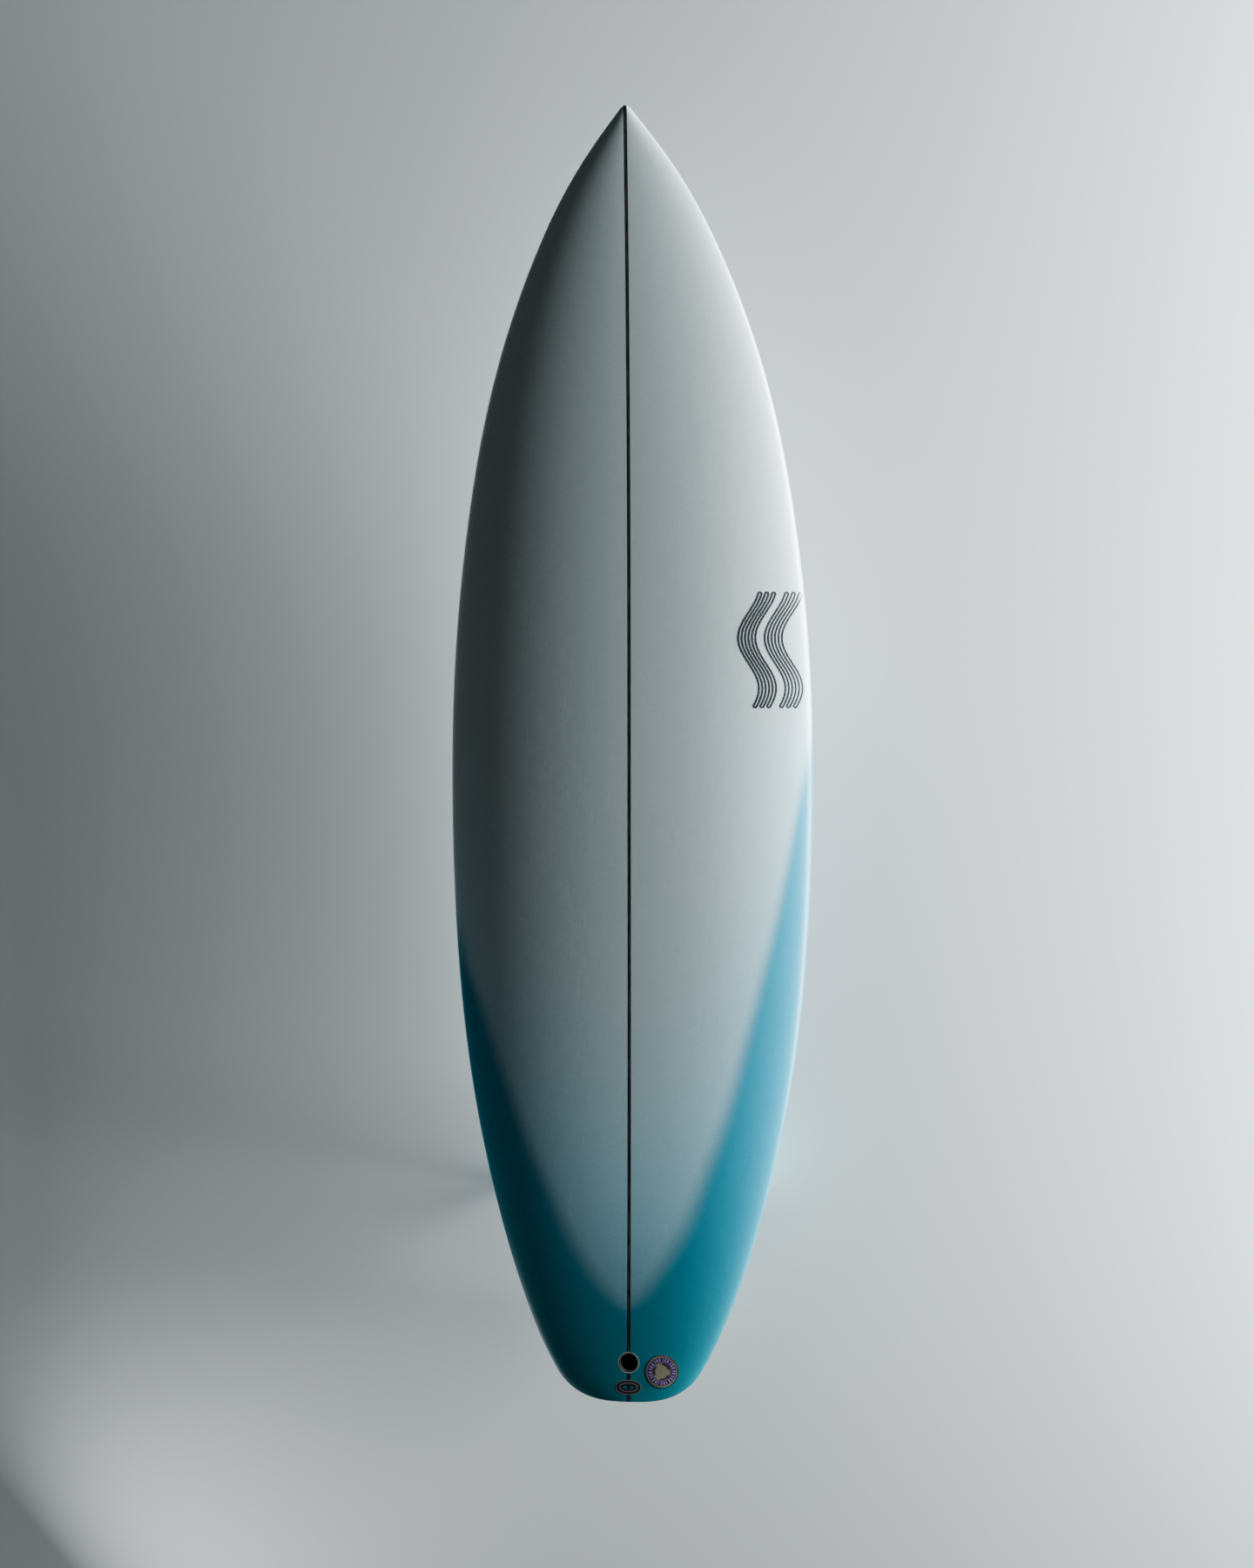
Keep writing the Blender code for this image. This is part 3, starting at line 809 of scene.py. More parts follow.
@dataclass
class BoardShape:
    """The board's lines: outline, rocker, foil and section."""

    length: float
    lift: float
    widest: float
    thickness: float = 0.0603
    nose_rocker: float = 0.124
    tail_rocker: float = 0.057
    flat_station: float = 0.812
    thickest_station: float = 0.864
    tail_thickness: float = 0.016
    nose_thickness: float = 0.008
    tail_flat: float = 0.030
    corner_radius: float = 0.080
    corner_angle: float = math.radians(58)
    nose_slope: float = -0.87
    nose_half_width: float = 0.004
    outline: tuple[tuple[float, float], ...] = (
        (0.120, 0.1380),
        (0.260, 0.1835),
        (0.450, 0.2230),
        (0.640, 0.2420),
        (0.825, 0.2475),
        (1.010, 0.2425),
        (1.200, 0.2220),
        (1.380, 0.1845),
        (1.540, 0.1260),
        (1.660, 0.0580),
    )
    apex_share: float = 0.34
    fullness: float = 2.15
    concave: float = 0.002
    tail_tuck: float = 0.006
    nose_tuck: float = 0.024
    tuck_station: float = 0.70
    most_tuck_share: float = 0.45
    end_rounding: float = 0.0024
    tip_rounding: float = 0.005

    def __post_init__(self) -> None:
        """Draws the outline's curve."""
        self.corner_end = self.corner_radius * (1 - math.cos(self.corner_angle))
        corner_width = self.tail_flat + self.corner_radius * math.sin(self.corner_angle)
        points = (
            (self.corner_end, corner_width),
            *self.outline,
            (self.length, self.nose_half_width),
        )
        self.curve = Spline(points, 1 / math.tan(self.corner_angle), self.nose_slope)

    def half_width(self, station: float) -> float:
        """Half the board's width: the tail's round corner, then the outline's curve."""
        if station < self.corner_end:
            drop = 1 - station / self.corner_radius
            return self.tail_flat + self.corner_radius * math.sqrt(1 - drop**2)
        tip = 0.55 + 0.45 * rounded_end(self.length - station, self.tip_rounding)
        return min(self.curve(station) * tip, self.widest)

    def rocker(self, station: float) -> float:
        """Height of the bottom's centre line."""
        if station < self.flat_station:
            return self.lift + self.tail_rocker * (1 - station / self.flat_station) ** 2.3
        along = (station - self.flat_station) / (self.length - self.flat_station)
        return self.lift + self.nose_rocker * along**2.4

    def depth(self, station: float) -> float:
        """Thickness of the board on its centre line."""
        if station < self.thickest_station:
            away, end, power = 1 - station / self.thickest_station, self.tail_thickness, 1.9
        else:
            away = (station - self.thickest_station) / (self.length - self.thickest_station)
            end, power = self.nose_thickness, 2.0
        return end + (self.thickness - end) * (1 - away**power)

    def tuck(self, station: float) -> float:
        """How far in from the rail the bottom's edge lies."""
        share = min(station / self.tuck_station, 1.0)
        reach = self.tail_tuck + (self.nose_tuck - self.tail_tuck) * share**2 * (3 - 2 * share)
        return min(reach, self.most_tuck_share * self.half_width(station))

    def apex(self, station: float) -> float:
        """Height of the rail's widest line above the bottom."""
        return self.apex_share * self.depth(station)

    def deck_height(self, x: float, station: float) -> float:
        """Height of the deck's surface at a place."""
        apex = self.apex(station)
        crown = self.depth(station) - apex - self._end_drop(station)
        inside = max(1 - (abs(x) / self.half_width(station)) ** self.fullness, 0)
        return self.rocker(station) + apex + crown * inside ** (1 / self.fullness)

    def _end_drop(self, station: float) -> float:
        """How far the deck is lowered to round the upper edge of the tail's and nose's ends."""
        end = min(station, self.length - station)
        return self.end_rounding * (1 - rounded_end(end, self.end_rounding))

    def bottom_height(self, x: float, station: float) -> float:
        """Height of the bottom's surface at a place."""
        flat = self.half_width(station) - self.tuck(station)
        hollow = self.concave * math.sin(math.pi * station / self.length)
        return self.rocker(station) + hollow * (1 - min(abs(x) / flat, 1) ** 2)

    def on_deck(self, x: float, station: float, lift: float = 0.0) -> Vector:
        """A point on the deck, or a little above it."""
        return Vector((x, station - self.length / 2, self.deck_height(x, station) + lift))

    def slope(self, height: Callable[[float], float], station: float) -> float:
        """The angle at which a height rises towards the nose."""
        step = MILLIMETRE
        return math.atan((height(station + step) - height(station - step)) / (2 * step))


@dataclass
class GlassSkins:
    """The two glass skins, which show the foam, the spray and the stringer."""

    shape: BoardShape
    corner_steps: int = 26
    long_step: float = 0.0075
    nose_zone: float = 0.04
    nose_steps: int = 20
    rail_steps: int = 9
    deck_steps: int = 40
    bottom_steps: int = 56
    deck_wall: float = 0.0010
    bottom_wall: float = 0.0007

    def stations(self) -> list[float]:
        """Where the sections stand, closest together at the two ends."""
        shape = self.shape
        turns = [shape.corner_angle * i / self.corner_steps for i in range(self.corner_steps)]
        found = [shape.corner_radius * (1 - math.cos(turn)) for turn in turns]
        start, end = shape.corner_end, shape.length - self.nose_zone
        count = round((end - start) / self.long_step)
        found += [start + (end - start) * i / count for i in range(count)]
        shares = [i / self.nose_steps for i in range(self.nose_steps + 1)]
        found += [shape.length - self.nose_zone * (1 - share) ** 2 for share in shares]
        return found

    def _deck_section(self, station: float) -> Ring:
        """The points of a section from the left bottom edge over the deck to the right one."""
        shape = self.shape
        width, base = shape.half_width(station), shape.rocker(station)
        apex, reach = shape.apex(station), shape.tuck(station)
        half = []
        for i in range(self.rail_steps):
            turn = math.pi / 2 * i / self.rail_steps
            x = width - reach + reach * math.sin(turn)
            half.append((x, base + apex * (1 - math.cos(turn))))
        for i in range(self.deck_steps):
            turn = math.pi / 2 * i / self.deck_steps
            x = width * math.cos(turn) ** (2 / shape.fullness)
            half.append((x, shape.deck_height(x, station)))
        y = station - shape.length / 2
        left = [(-x, y, z) for x, z in half]
        right = [(x, y, z) for x, z in reversed(half)]
        return [*left, (0.0, y, shape.deck_height(0.0, station)), *right]

    def _bottom_section(self, station: float) -> Ring:
        """The points of the bottom's section from right to left."""
        shape = self.shape
        flat = shape.half_width(station) - shape.tuck(station)
        y = station - shape.length / 2
        shares = [1 - 2 * i / self.bottom_steps for i in range(self.bottom_steps + 1)]
        return [(flat * part, y, shape.bottom_height(flat * part, station)) for part in shares]

    def deck(self, holes: Iterable[bmesh.types.BMesh]) -> None:
        """Makes the skin over the deck, the rails, the nose and the tail, with its holes."""
        bm = wrapped([self._deck_section(station) for station in self.stations()], closed=False)
        for end in (-self.shape.length / 2, self.shape.length / 2):
            rim = [
                edge
                for edge in bm.edges
                if all(abs(vert.co.y - end) < 1e-6 for vert in edge.verts)
            ]
            bmesh.ops.contextual_create(bm, geom=rim)
        face_out(bm, Vector((0, 0, 1)))
        made = solid("deck_skin", bm, SprayedGlass("sprayed_glass_deck", self.shape.length))
        self._harden(made, self.deck_wall, holes)
        finish_piece(made, BOARD_BODY, Slot.DECK, "deck_glass")

    def bottom(self, holes: Iterable[bmesh.types.BMesh]) -> None:
        """Makes the skin over the bottom, with its holes."""
        bm = wrapped([self._bottom_section(station) for station in self.stations()], closed=False)
        face_out(bm, Vector((0, 0, -1)))
        finish = SprayedGlass("sprayed_glass_bottom", self.shape.length, spray_start=0.095)
        made = solid("bottom_skin", bm, finish)
        self._harden(made, self.bottom_wall, holes)
        finish_piece(made, BOARD_BODY, Slot.BOTTOM, "bottom_glass")

    def _harden(
        self, sheet: bpy.types.Object, wall: float, holes: Iterable[bmesh.types.BMesh]
    ) -> None:
        """Gives a sheet its wall and cuts its holes."""
        add_wall(sheet, wall)
        carve(sheet, holes)
        shade(sheet)


def face_out(bm: bmesh.types.BMesh, way: Vector) -> None:
    """Turns an open sheet's faces so that its outside looks one way."""
    bmesh.ops.recalc_face_normals(bm, faces=bm.faces[:])
    if sum(face.normal.dot(way) * face.calc_area() for face in bm.faces) < 0:
        bmesh.ops.reverse_faces(bm, faces=bm.faces[:])


@dataclass
class LeashPlug:
    """The leash plug: a cup with a pin across its well, in a ring of resin."""

    shape: BoardShape
    station: float = 0.054
    radius: float = 0.0135
    depth: float = 0.014
    floor: float = 0.0015
    well_radius: float = 0.011
    pin_radius: float = 0.0015
    pin_length: float = 0.0252
    pin_drop: float = 0.0045
    gap: float = 0.0001
    resin: float = 0.0009

    def __post_init__(self) -> None:
        """Finds the plug's seat on the deck."""
        tilt = self.shape.slope(lambda at: self.shape.deck_height(0.0, at), self.station)
        place = Matrix.Translation(self.shape.on_deck(0.0, self.station))
        self.seat = place @ Matrix.Rotation(tilt, 4, "X")

    def hole(self) -> bmesh.types.BMesh:
        """The hole that the plug needs in the skin."""
        return moved(rod(self.radius + self.gap + self.resin, 0.04, 96), self.seat)

    def _pin_place(self) -> Matrix:
        """Where the pin's middle is, with its length along X."""
        drop = Matrix.Translation((0, 0, -self.pin_drop))
        return self.seat @ drop @ Matrix.Rotation(math.pi / 2, 4, "Y")

    def build(self) -> None:
        """Makes the cup, the pin and the resin."""
        lip = 0.0007
        cup = turned(
            (
                (0, -self.depth),
                (self.radius - lip, -self.depth),
                (self.radius, -self.depth + lip),
                (self.radius, -0.0002),
                (self.radius - 0.0003, 0),
                (self.radius - 0.0009, 0.00005),
                (self.well_radius + lip, 0),
                (self.well_radius + lip * 0.3, -lip * 0.3),
                (self.well_radius, -lip),
                (self.well_radius, self.floor - self.depth + 2 * lip),
                (self.well_radius - 0.6 * lip, self.floor - self.depth + 0.6 * lip),
                (self.well_radius - 2 * lip, self.floor - self.depth),
                (0, self.floor - self.depth),
            ),
            steps=96,
        )
        black = Plastic("plug_black", color=(0.004, 0.004, 0.0045), roughness=0.6, gloss=0.12)
        made = solid("plug_cup", cup, black, self.seat)
        bore = rod(self.pin_radius + self.gap, self.pin_length + 2 * self.gap)
        carve(made, [moved(bore, self._pin_place())])
        shade(made)
        finish_piece(made, BOARD_BODY, Slot.PLUG, "leash_plug_cup")

        pin = rod(self.pin_radius, self.pin_length)
        soften(pin, 0.0003)
        dark = Steel("dark_steel", color=(0.035, 0.035, 0.037), along=(60.0, 1500.0, 1500.0))
        made = solid("plug_pin", pin, dark, self._pin_place())
        finish_piece(made, BOARD_BODY, Slot.PIN, "leash_plug_pin")

        inner = self.radius + self.gap / 2
        outer = self.radius + self.gap / 2 + self.resin
        floor = self.depth + self.gap
        bed = turned(
            (
                (0, -floor - self.resin),
                (outer, -floor - self.resin),
                (outer, -0.00012),
                (outer - 0.3 * self.resin, 0.00002),
                (inner + 0.3 * self.resin, 0.00002),
                (inner, -0.0001),
                (inner, -floor),
                (0, -floor),
            ),
            steps=96,
        )
        made = solid("plug_bed", bed, Resin("plug_resin", color=(0.44, 0.46, 0.46)), self.seat)
        finish_piece(made, BOARD_BODY, Slot.RESIN, "leash_plug_resin")


@dataclass
class FinSet:
    """One fin with its box, its bed of resin and its grub screw."""

    shape: BoardShape
    side: Side
    base: float = 0.111
    thickness: float = 0.0068
    edge: float = 0.0005
    leading: tuple[tuple[float, float], ...] = (
        (0.0555, 0.0),
        (0.034, 0.045),
        (-0.010, 0.100),
        (-0.064, 0.112),
    )
    trailing: tuple[tuple[float, float], ...] = (
        (-0.0555, 0.0),
        (-0.049, 0.035),
        (-0.052, 0.078),
        (-0.0725, 0.1055),
    )
    foot_height: float = 0.003
    foot_width: float = 0.0076
    box_front: float = 0.070
    box_back: float = -0.060
    box_width: float = 0.0155
    box_depth: float = 0.014
    resin: float = 0.0012
    sunk: float = 0.0004
    gap: float = 0.0003
    tab_length: float = 0.107
    tab_width: float = 0.006
    tab_depth: float = 0.012
    cant: float = math.radians(6.5)
    toe_in: float = math.radians(2.0)
    side_station: float = 0.280
    side_from_rail: float = 0.030
    center_station: float = 0.089
    screw_radius: float = 0.0025
    screw_length: float = 0.008
    screw_hole: float = 0.0028
    screw_tilt: float = math.radians(45)
    screw_tip: float = 0.0075
    hex_radius: float = 0.00144
    hex_depth: float = 0.003
    thread_pitch: float = 0.0008
    thread_depth: float = 0.00028
    screw_sides: int = 36
    chord_steps: int = 22
    span_steps: int = 44

    def __post_init__(self) -> None:
        """Finds the fin's seat in the bottom."""
        sign = self.side.sign
        shape = self.shape
        trailing = self.side_station if sign else self.center_station
        middle = trailing + self.base / 2
        back = shape.half_width(trailing) - self.side_from_rail
        x = sign * (back - math.sin(self.toe_in) * self.base / 2)
        height = shape.rocker(middle) + self.sunk
        place = Matrix.Translation((x, middle - shape.length / 2, height))
        toe = Matrix.Rotation(sign * self.toe_in, 4, "Z")
        rise = Matrix.Rotation(shape.slope(shape.rocker, middle), 4, "X")
        self.seat = place @ toe @ rise @ Matrix.Rotation(-sign * self.cant, 4, "Y")
        reach = self.tab_length / 2 + self.gap + self.screw_radius * math.cos(self.screw_tilt)
        tip = Matrix.Translation((0, reach, self.screw_tip))
        self.screw_place = self.seat @ tip @ Matrix.Rotation(self.screw_tilt, 4, "X")

    def _body(self, kind: str) -> str:
        """The name of the fin's or the screw's body."""
        return f"{kind}_{self.side.label}"

    def _blade_edge(self, points: Sequence[tuple[float, float]], share: float) -> Vector:
        """A point on the leading or trailing edge, from the root to the tip."""
        a, b, c, d = (Vector(point) for point in points)
        rest = 1 - share
        return a * rest**3 + b * 3 * rest**2 * share + c * 3 * rest * share**2 + d * share**3

    def _foil(self, share: float) -> float:
        """Half the foil's thickness at a share of its chord, as a part of the whole."""
        curve = 0.2969 * math.sqrt(share) - 0.126 * share - 0.3516 * share**2
        return 5 * (curve + 0.2843 * share**3 - 0.1036 * share**4)

    def _chord_shares(self) -> list[float]:
        """Places along the chord, closest together at its two edges."""
        turns = [math.pi * i / self.chord_steps for i in range(self.chord_steps + 1)]
        return [(1 - math.cos(turn)) / 2 for turn in turns]

    def _blade_ring(self, share: float) -> Ring:
        """One section of the blade, with its inner face flat on a side fin."""
        front = self._blade_edge(self.leading, share)
        back = self._blade_edge(self.trailing, share)
        inside = -self.side.sign
        taper = 1 - 0.8 * share**1.3
        tip = rounded_end(1 - share, 0.035)
        middle = front.lerp(back, 0.5)
        one, other = [], []
        for along in self._chord_shares():
            y, depth = middle.lerp(front.lerp(back, along), 0.45 + 0.55 * tip)
            bulge = (self.thickness * taper * self._foil(along) + self.edge / 2) * (0.3 + 0.7 * tip)
            if inside:
                face = inside * self.thickness / 2
                pair = sorted((face, face - inside * 2 * bulge), reverse=True)
            else:
                pair = [bulge, -bulge]
            one.append((pair[0], y, -depth - self.foot_height))
            other.append((pair[1], y, -depth - self.foot_height))
        return one + other[::-1]

    def _block_ring(self, length: float, width: float, height: float) -> Ring:
        """A ring with straight sides that matches a section point for point."""
        corner = 0.12 * width
        one = []
        for share in self._chord_shares():
            pinch = corner if share in (0.0, 1.0) else 0.0
            one.append((width / 2 - pinch, length * (0.5 - share), height))
        return one + [(-x, y, z) for x, y, z in reversed(one)]

    def _blade(self) -> None:
        """The fin's tab, foot and blade, as one body."""
        foot = self.base + 0.001
        under = -self.foot_height / 2
        rings = [
            self._block_ring(self.tab_length - 0.0006, self.tab_width - 0.0006, self.tab_depth),
            self._block_ring(self.tab_length, self.tab_width, self.tab_depth - 0.0004),
            self._block_ring(self.tab_length, self.tab_width, -self.sunk),
            self._block_ring(foot - 0.0006, self.foot_width - 0.0006, -self.sunk),
            self._block_ring(foot, self.foot_width, -self.sunk - 0.0003),
            self._block_ring(foot, self.foot_width, under),
            self._block_ring(foot - 0.0004, self.foot_width - 0.0005, under - 0.0003),
        ]
        spans = [i / self.span_steps for i in range(self.span_steps + 1)]
        rings += [self._blade_ring(1 - (1 - span) ** 1.35) for span in spans]
        finish = FinComposite("fin_composite", top=self.shape.lift + 0.03)
        name = self._body("fin")
        made = solid(f"{name}_blade", wrapped(rings), finish, self.seat, smooth=40)
        finish_piece(made, name, Slot.FIN, name)

    def _box(self) -> None:
        """The plastic box, with its slot and its screw hole."""
        bm = self._lobe(0.0, 0.0, self.box_depth)
        soften(bm, 0.0003)
        made = solid(self._body("box_body"), bm, Plastic("box_black", roughness=0.48), self.seat)
        slot = bmesh.new()
        bmesh.ops.create_cube(slot, size=1)
        size = (self.tab_width + 0.0004, self.tab_length + 0.0004, 2 * self.tab_depth + 0.0012)
        bmesh.ops.scale(slot, vec=size, verts=slot.verts[:])
        upright = [
            edge for edge in slot.edges if abs(edge.verts[0].co.z - edge.verts[1].co.z) > 1e-6
        ]
        bmesh.ops.bevel(
            slot, geom=upright, offset=0.0012, affect="EDGES", segments=4, profile=0.5, material=-1
        )
        bore = moved(rod(self.screw_hole, 0.03), Matrix.Translation((0, 0, -0.015)))
        carve(made, [moved(slot, self.seat), moved(bore, self.screw_place)])
        shade(made)
        finish_piece(made, BOARD_BODY, Slot.BOX, self._body("fin_box"))

    def _lobe(self, rim: float, low: float, high: float) -> bmesh.types.BMesh:
        """A block as the box, larger by a rim, between two heights."""
        front, back, width = self.box_front + rim, self.box_back - rim, self.box_width + 2 * rim
        return wrapped([stadium(front, back, width, high), stadium(front, back, width, low)])

    def _bed(self) -> None:
        """The resin that holds the box."""
        gap = 0.00005
        bm = self._lobe(gap + self.resin, 0.00005, self.box_depth + self.resin)
        soften(bm, 0.0002)
        made = solid(self._body("box_bed"), bm, Resin("box_resin"), self.seat)
        carve(made, [moved(self._lobe(gap, -self.box_depth, self.box_depth + gap), self.seat)])
        shade(made)
        finish_piece(made, BOARD_BODY, Slot.RESIN, self._body("fin_box_resin"))

    def hole(self) -> bmesh.types.BMesh:
        """The hole that the box and its resin need in the skin."""
        return moved(self._lobe(self.resin + 0.0001, -self.box_depth, self.box_depth), self.seat)

    def _screw_ring(self, radius: float, height: float, flats: bool = False) -> Ring:
        """A round or six-sided ring round Z."""
        points = []
        for i in range(self.screw_sides):
            turn = math.tau * i / self.screw_sides
            off = (turn + math.pi / 6) % (math.pi / 3) - math.pi / 6
            out = radius * math.cos(math.pi / 6) / math.cos(off) if flats else radius
            points.append((out * math.cos(turn), out * math.sin(turn), height))
        return points

    def _screw(self) -> None:
        """A grub screw with a thread and a hexagon socket."""
        ring, radius, pitch = self._screw_ring, self.screw_radius, self.thread_pitch
        root, end = radius - self.thread_depth, -self.screw_length
        rings = [ring(radius - 0.0008, 0), ring(radius - 0.0005, -0.0003)]
        for i in range(int((self.screw_length - 0.0008) / pitch)):
            height = -0.0005 - i * pitch
            for out, down in ((radius, 0.0), (radius, 0.15), (root, 0.5), (root, 0.65)):
                rings.append(ring(out, height - down * pitch))
        rings += [
            ring(radius, end + 0.0003),
            ring(radius - 0.0003, end),
            ring(self.hex_radius + 0.0002, end),
            ring(self.hex_radius, end + 0.0002, True),
            ring(self.hex_radius, end + self.hex_depth, True),
        ]
        name = self._body("fin_screw")
        steel = Steel("screw_steel", along=(900.0, 900.0, 900.0))
        made = solid(f"{name}_thread", wrapped(rings), steel, self.screw_place)
        finish_piece(made, name, Slot.SCREW, name)

    def build(self) -> None:
        """Makes the fin, the box, its resin and the screw."""
        self._blade()
        self._box()
        self._bed()
        self._screw()


# ----------------------------------------------------------------- deck graphics


@dataclass
class DeckGraphics:
    """Plain printed decoration on the deck: ripples, a lozenge and a round sticker."""

    shape: BoardShape
    lift: float = 0.00006
    film: float = 0.00012
    ripple_x: float = 0.190
    ripple_station: float = 1.023
    ripple_length: float = 0.150
    ripple_bands: int = 2
    ripple_lines: int = 6
    ripple_pitch: float = 0.0046
    band_gap: float = 0.0125
    ripple_swing: float = 0.0140
    line_width: float = 0.0025
    tail_station: float = 0.0205
    tail_length: float = 0.0100
    tail_width: float = 0.0175
    sticker_x: float = 0.0455
    sticker_station: float = 0.0425
    sticker_radius: float = 0.0225

    def _stroke(
        self,
        bm: bmesh.types.BMesh,
        path: Sequence[tuple[float, float]],
        width: float,
        closed: bool = False,
    ) -> None:
        """Adds a ribbon along a path on the deck.

        Args:
            bm: where it is added.
            path: places across and along the deck.
            width: the ribbon's width.
            closed: whether the path's end joins its start.
        """
        count = len(path)
        spans = count if closed else count - 1
        grid = bmesh.ops.create_grid(bm, x_segments=spans, y_segments=1, size=1)["verts"]
        for vert in grid:
            i = round((vert.co.x + 1) / 2 * spans)
            before = path[(i - 1) % count] if closed else path[max(i - 1, 0)]
            after = path[(i + 1) % count] if closed else path[min(i + 1, count - 1)]
            along = Vector(after) - Vector(before)
            aside = Vector((-along.y, along.x)).normalized() * (vert.co.y * width / 2)
            spot = Vector(path[i % count]) + aside
            vert.co = self.shape.on_deck(spot.x, spot.y, self.lift)
        if closed:
            bmesh.ops.remove_doubles(bm, verts=grid, dist=1e-6)

    def _film(
        self, name: str, bm: bmesh.types.BMesh, finish: Finish, slot: Slot, *nodes: str
    ) -> None:
        """Finishes a flat print: faces up, a hair thick, riding on the board.

        Args:
            name: the piece's name.
            bm: its sheet.
            finish: its finish.
            slot: the record's finish.
            *nodes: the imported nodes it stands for.
        """
        for face in bm.faces:
            face.normal_update()
            if face.normal.z < 0:
                face.normal_flip()
        made = solid(name, bm, finish)
        add_wall(made, self.film, 1.0)
        shade(made)
        finish_piece(made, BOARD_BODY, slot, *nodes)

    def _ripples(self) -> None:
        """Two bands of wavy lines near the right rail, joined in pairs at their ends."""
        bm = bmesh.new()
        band = self.ripple_pitch * (self.ripple_lines - 1)
        start = -(self.ripple_bands * band + (self.ripple_bands - 1) * self.band_gap) / 2
        for number in range(self.ripple_bands):
            first = start + number * (band + self.band_gap)
            for pair in range(self.ripple_lines // 2):
                inner = first + 2 * pair * self.ripple_pitch
                there, back = self._wave(inner), self._wave(inner + self.ripple_pitch)
                radius = self.ripple_pitch / 2
                top = self._end_turn(there[-1], back[-1], radius, 1)
                low = self._end_turn(back[0], there[0], radius, -1)
                self._stroke(bm, there + top + back[::-1] + low, self.line_width, closed=True)
        self._film("deck_ripples", bm, Print("mark_ink"), Slot.INK, "deck_mark")

    def _wave(self, offset: float, steps: int = 90) -> Path:
        """One wavy line along the board.

        Args:
            offset: how far right of the ripples' middle it lies.
            steps: how many straight parts it has.

        Returns:
            Its points.
        """
        points = []
        for i in range(steps + 1):
            share = i / steps
            swing = self.ripple_swing * math.sin(math.tau * 1.1 * share + 0.5)
            along = self.ripple_station + self.ripple_length * (share - 0.5)
            points.append((self.ripple_x + offset + swing, along))
        return points

    def _end_turn(
        self, start: tuple[float, float], end: tuple[float, float], radius: float, way: int
    ) -> Path:
        """The half round that joins two lines' ends.

        Args:
            start: the first line's end.
            end: the second's.
            radius: half the distance between them.
            way: 1 at the nose's side, -1 at the tail's.

        Returns:
            The points between the two.
        """
        middle = (start[0] + end[0]) / 2
        first = math.pi if way > 0 else 0.0
        points = []
        for i in range(1, 8):
            turn = first - math.pi * i / 8
            points.append((middle + radius * math.cos(turn), start[1] + radius * math.sin(turn)))
        return points

    def _lozenge(self, inset: float, bend: float = 0.9) -> Path:
        """A closed soft lozenge round the tail mark's middle, inside its outline by an inset."""
        width, length = self.tail_width - 1.3 * inset, self.tail_length - inset
        points = []
        for i in range(96):
            turn = math.tau * i / 96
            c, s = math.cos(turn), math.sin(turn)
            x = width * math.copysign(abs(c) ** bend, c)
            y = length * math.copysign(abs(s) ** bend, s)
            points.append((x, self.tail_station + y))
        return points

    def _tail_mark(self) -> None:
        """Two dark soft lozenges, each with a pale outline, on the stringer at the tail."""
        dark = bmesh.new()
        pale = bmesh.new()
        for inset in (0.0022, 0.0062):
            self._stroke(dark, self._lozenge(inset), 0.0026, True)
        for inset in (0.0004, 0.0042):
            self._stroke(pale, self._lozenge(inset), 0.0009, True)
        ink = Print("tail_ink", color=(0.020, 0.019, 0.022), worn=(0.05, 0.05, 0.055))
        self._film("tail_lozenge", dark, ink, Slot.INK, "tail_mark")
        edge = Print("tail_edge", color=(0.21, 0.17, 0.18), worn=(0.27, 0.23, 0.24))
        self._film("tail_lozenge_edge", pale, edge, Slot.INK)

    def _disc(self, radius: float, rings: int = 5) -> bmesh.types.BMesh:
        """A round sheet of a few rings of faces, laid on the deck at the sticker's place."""
        bm = turned([(radius * i / rings, 0.0) for i in range(rings + 1)], steps=96)
        for vert in bm.verts:
            spot = (self.sticker_x + vert.co.x, self.sticker_station + vert.co.y)
            vert.co = self.shape.on_deck(*spot, self.lift)
        return bm

    def _arc(self, radius: float, start: float, end: float, steps: int) -> Path:
        """Points on a circle round the sticker's middle, between two angles."""
        points = []
        for i in range(steps + 1):
            turn = start + (end - start) * i / steps
            x = self.sticker_x + radius * math.cos(turn)
            points.append((x, self.sticker_station + radius * math.sin(turn)))
        return points

    def _sticker(self) -> None:
        """A sand-coloured disc with a dark edge, a ring of lilac ticks and three plain arcs."""
        radius = self.sticker_radius
        lifts = [self.lift + i * (self.film + 0.00002) for i in range(3)]
        sand = Print("sticker_sand", color=(0.20, 0.19, 0.13), worn=(0.25, 0.235, 0.17))
        self._film("sticker_disc", self._disc(radius), sand, Slot.STICKER, "round_sticker")
        self.lift = lifts[1]
        lines = bmesh.new()
        self._stroke(lines, self._arc(radius - 0.0006, 0, math.tau, 120)[:-1], 0.0010, True)
        self._stroke(lines, self._arc(radius * 0.70, 0, math.tau, 120)[:-1], radius * 0.30, True)
        for start in (0.3, 2.4, 4.6):
            self._stroke(lines, self._arc(radius * 0.46, start, start + 1.2, 24), 0.0022)
        brown = Print("sticker_brown", color=(0.035, 0.028, 0.040), worn=(0.07, 0.055, 0.07))
        self._film("sticker_lines", lines, brown, Slot.STICKER)
        self.lift = lifts[2]
        ticks = bmesh.new()
        count = 26
        for i in range(count):
            start = math.tau * i / count
            reach = math.tau / count * (0.62 if i % 3 else 0.40)
            self._stroke(ticks, self._arc(radius * 0.70, start, start + reach, 6), radius * 0.23)
        lilac = Print("sticker_lilac", color=(0.22, 0.125, 0.37), worn=(0.32, 0.23, 0.42))
        self._film("sticker_ticks", ticks, lilac, Slot.STICKER)
        self.lift = lifts[0]

    def build(self) -> None:
        """Makes all three."""
        self._ripples()
        self._tail_mark()
        self._sticker()


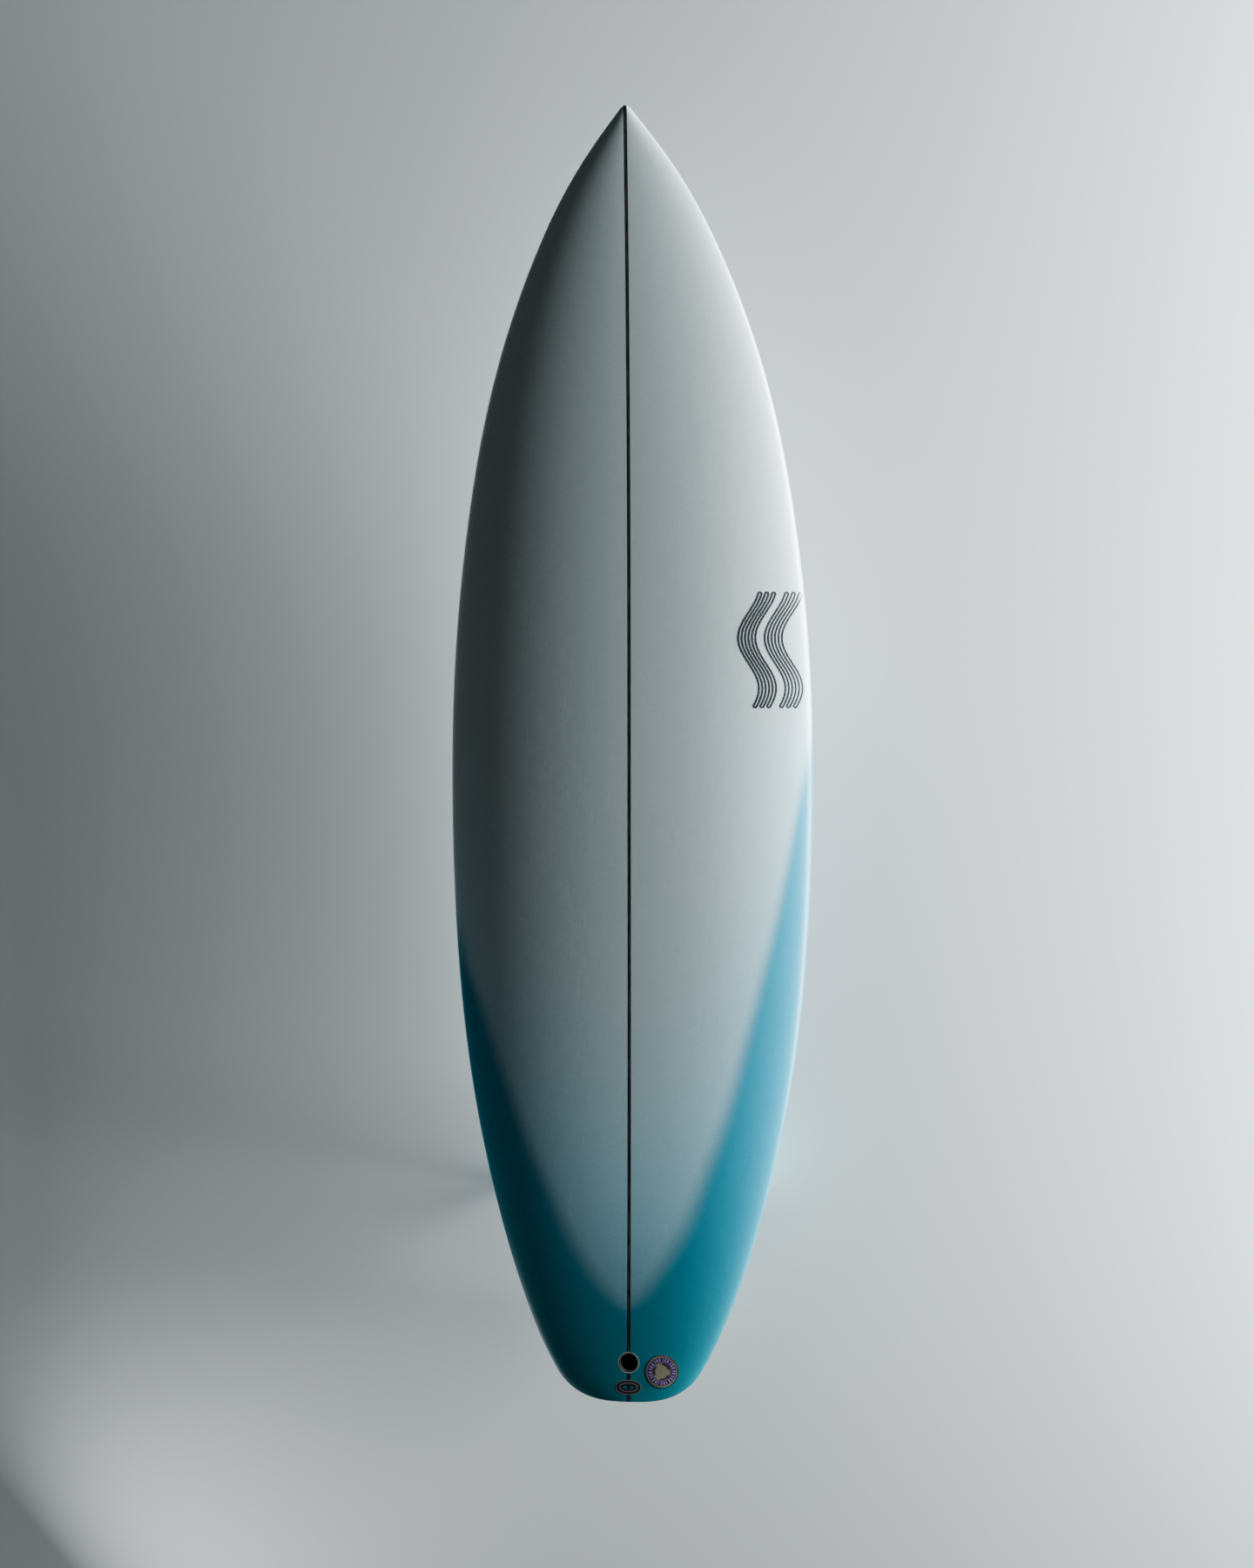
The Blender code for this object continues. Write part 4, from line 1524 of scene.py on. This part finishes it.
@dataclass
class Core:
    """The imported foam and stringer, which keep their shape and get their finish."""

    nodes: dict[str, bpy.types.Object]

    def build(self) -> None:
        """Dresses the two halves of the foam and the stringer."""
        finishes = {
            "foam_core_left": Foam("core_foam"),
            "foam_core_right": Foam("core_foam"),
            "stringer": Ply("stringer_ply"),
        }
        for name, finish in finishes.items():
            mesh = self.nodes[name].data
            mesh.materials.clear()
            mesh.materials.append(finish.material())
            LOG.info("%s: dressed", name)


# ------------------------------------------------------------------------ studio


@dataclass
class Studio:
    """The pale floor, the soft lights and the camera."""

    target: Vector
    distance: float = 2.75
    side_angle: float = math.radians(4.29)
    tail_angle: float = math.radians(-2.5)
    lens: float = 46.2
    shift_x: float = -0.0026
    shift_y: float = -0.0106

    def _camera(self) -> None:
        """The camera over the deck, with the nose up in its view."""
        data = bpy.data.cameras.new("camera")
        data.lens = self.lens
        data.shift_x, data.shift_y = self.shift_x, self.shift_y
        made = bpy.data.objects.new("camera", data)
        bpy.context.scene.collection.objects.link(made)
        side, tail = self.side_angle, self.tail_angle
        look = Vector(
            (
                -math.sin(side),
                math.sin(tail) * math.cos(side),
                -math.cos(side) * math.cos(tail),
            )
        )
        right = look.cross(Vector((0, 1, 0))).normalized()
        up = right.cross(look)
        turn = Matrix((right, up, -look)).transposed().to_4x4()
        made.matrix_world = Matrix.Translation(self.target - look * self.distance) @ turn
        bpy.context.scene.camera = made

    def _light(
        self,
        name: str,
        place: Point,
        aim: Point,
        size: tuple[float, float],
        power: float,
        color: Color = (0.90, 0.985, 1.0),
    ) -> None:
        """A soft rectangular light.

        Args:
            name: its name.
            place: where it stands.
            aim: what it points at.
            size: its width and height.
            power: its strength in watts.
            color: its colour.
        """
        data = bpy.data.lights.new(name, "AREA")
        data.shape = "RECTANGLE"
        data.size, data.size_y = size
        data.energy = power
        data.color = color
        made = bpy.data.objects.new(name, data)
        bpy.context.scene.collection.objects.link(made)
        turn = (Vector(aim) - Vector(place)).to_track_quat("-Z", "Y").to_matrix().to_4x4()
        made.matrix_world = Matrix.Translation(place) @ turn

    def _floor(self) -> None:
        """A wide floor just under the fins."""
        bm = bmesh.new()
        bmesh.ops.create_grid(bm, x_segments=8, y_segments=8, size=9)
        made = solid("floor", bm, StudioFloor("floor"), Matrix.Translation((0, 0, -0.0004)))
        made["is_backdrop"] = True

    def _world(self) -> None:
        """A dim even sky."""
        world = bpy.data.worlds.new("studio")
        world.use_nodes = True
        sky = world.node_tree.nodes["Background"]
        sky.inputs[0].default_value = (0.86, 0.97, 1.0, 1.0)
        sky.inputs[1].default_value = 0.040
        bpy.context.scene.world = world

    def build(self) -> None:
        """Sets the camera, the floor, the sky and the lights."""
        self._camera()
        self._floor()
        self._world()
        self._light("key", (2.6, 0.3, 0.37), (0.0, 0.3, 0.25), (2.4, 0.62), 345.0)
        self._light("rim", (1.5, 0.2, 0.07), (0.0, 0.2, 0.2), (2.4, 0.1), 150.0)
        self._light("tail", (-0.75, -1.25, 0.30), (-0.1, -0.7, 0.2), (0.4, 0.3), 1.9)
        LOG.info("studio: floor, light, camera")


def main() -> None:
    """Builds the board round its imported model."""
    logging.basicConfig(level=logging.INFO, format="%(name)s: %(message)s", stream=sys.stdout)
    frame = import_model()
    low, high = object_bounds()
    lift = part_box("deck_glass")[0].z
    shape = BoardShape(length=high.y - low.y, lift=lift, widest=high.x)
    Studio(target=Vector((0.0, 0.0, lift + 0.025))).build()
    plug = LeashPlug(shape)
    fins = [FinSet(shape, side) for side in Side]
    skins = GlassSkins(shape)
    skins.deck([plug.hole()])
    skins.bottom([fin.hole() for fin in fins])
    plug.build()
    for fin in fins:
        fin.build()
    DeckGraphics(shape).build()
    Core(frame["nodes"]).build()


if __name__ == "__main__":
    main()
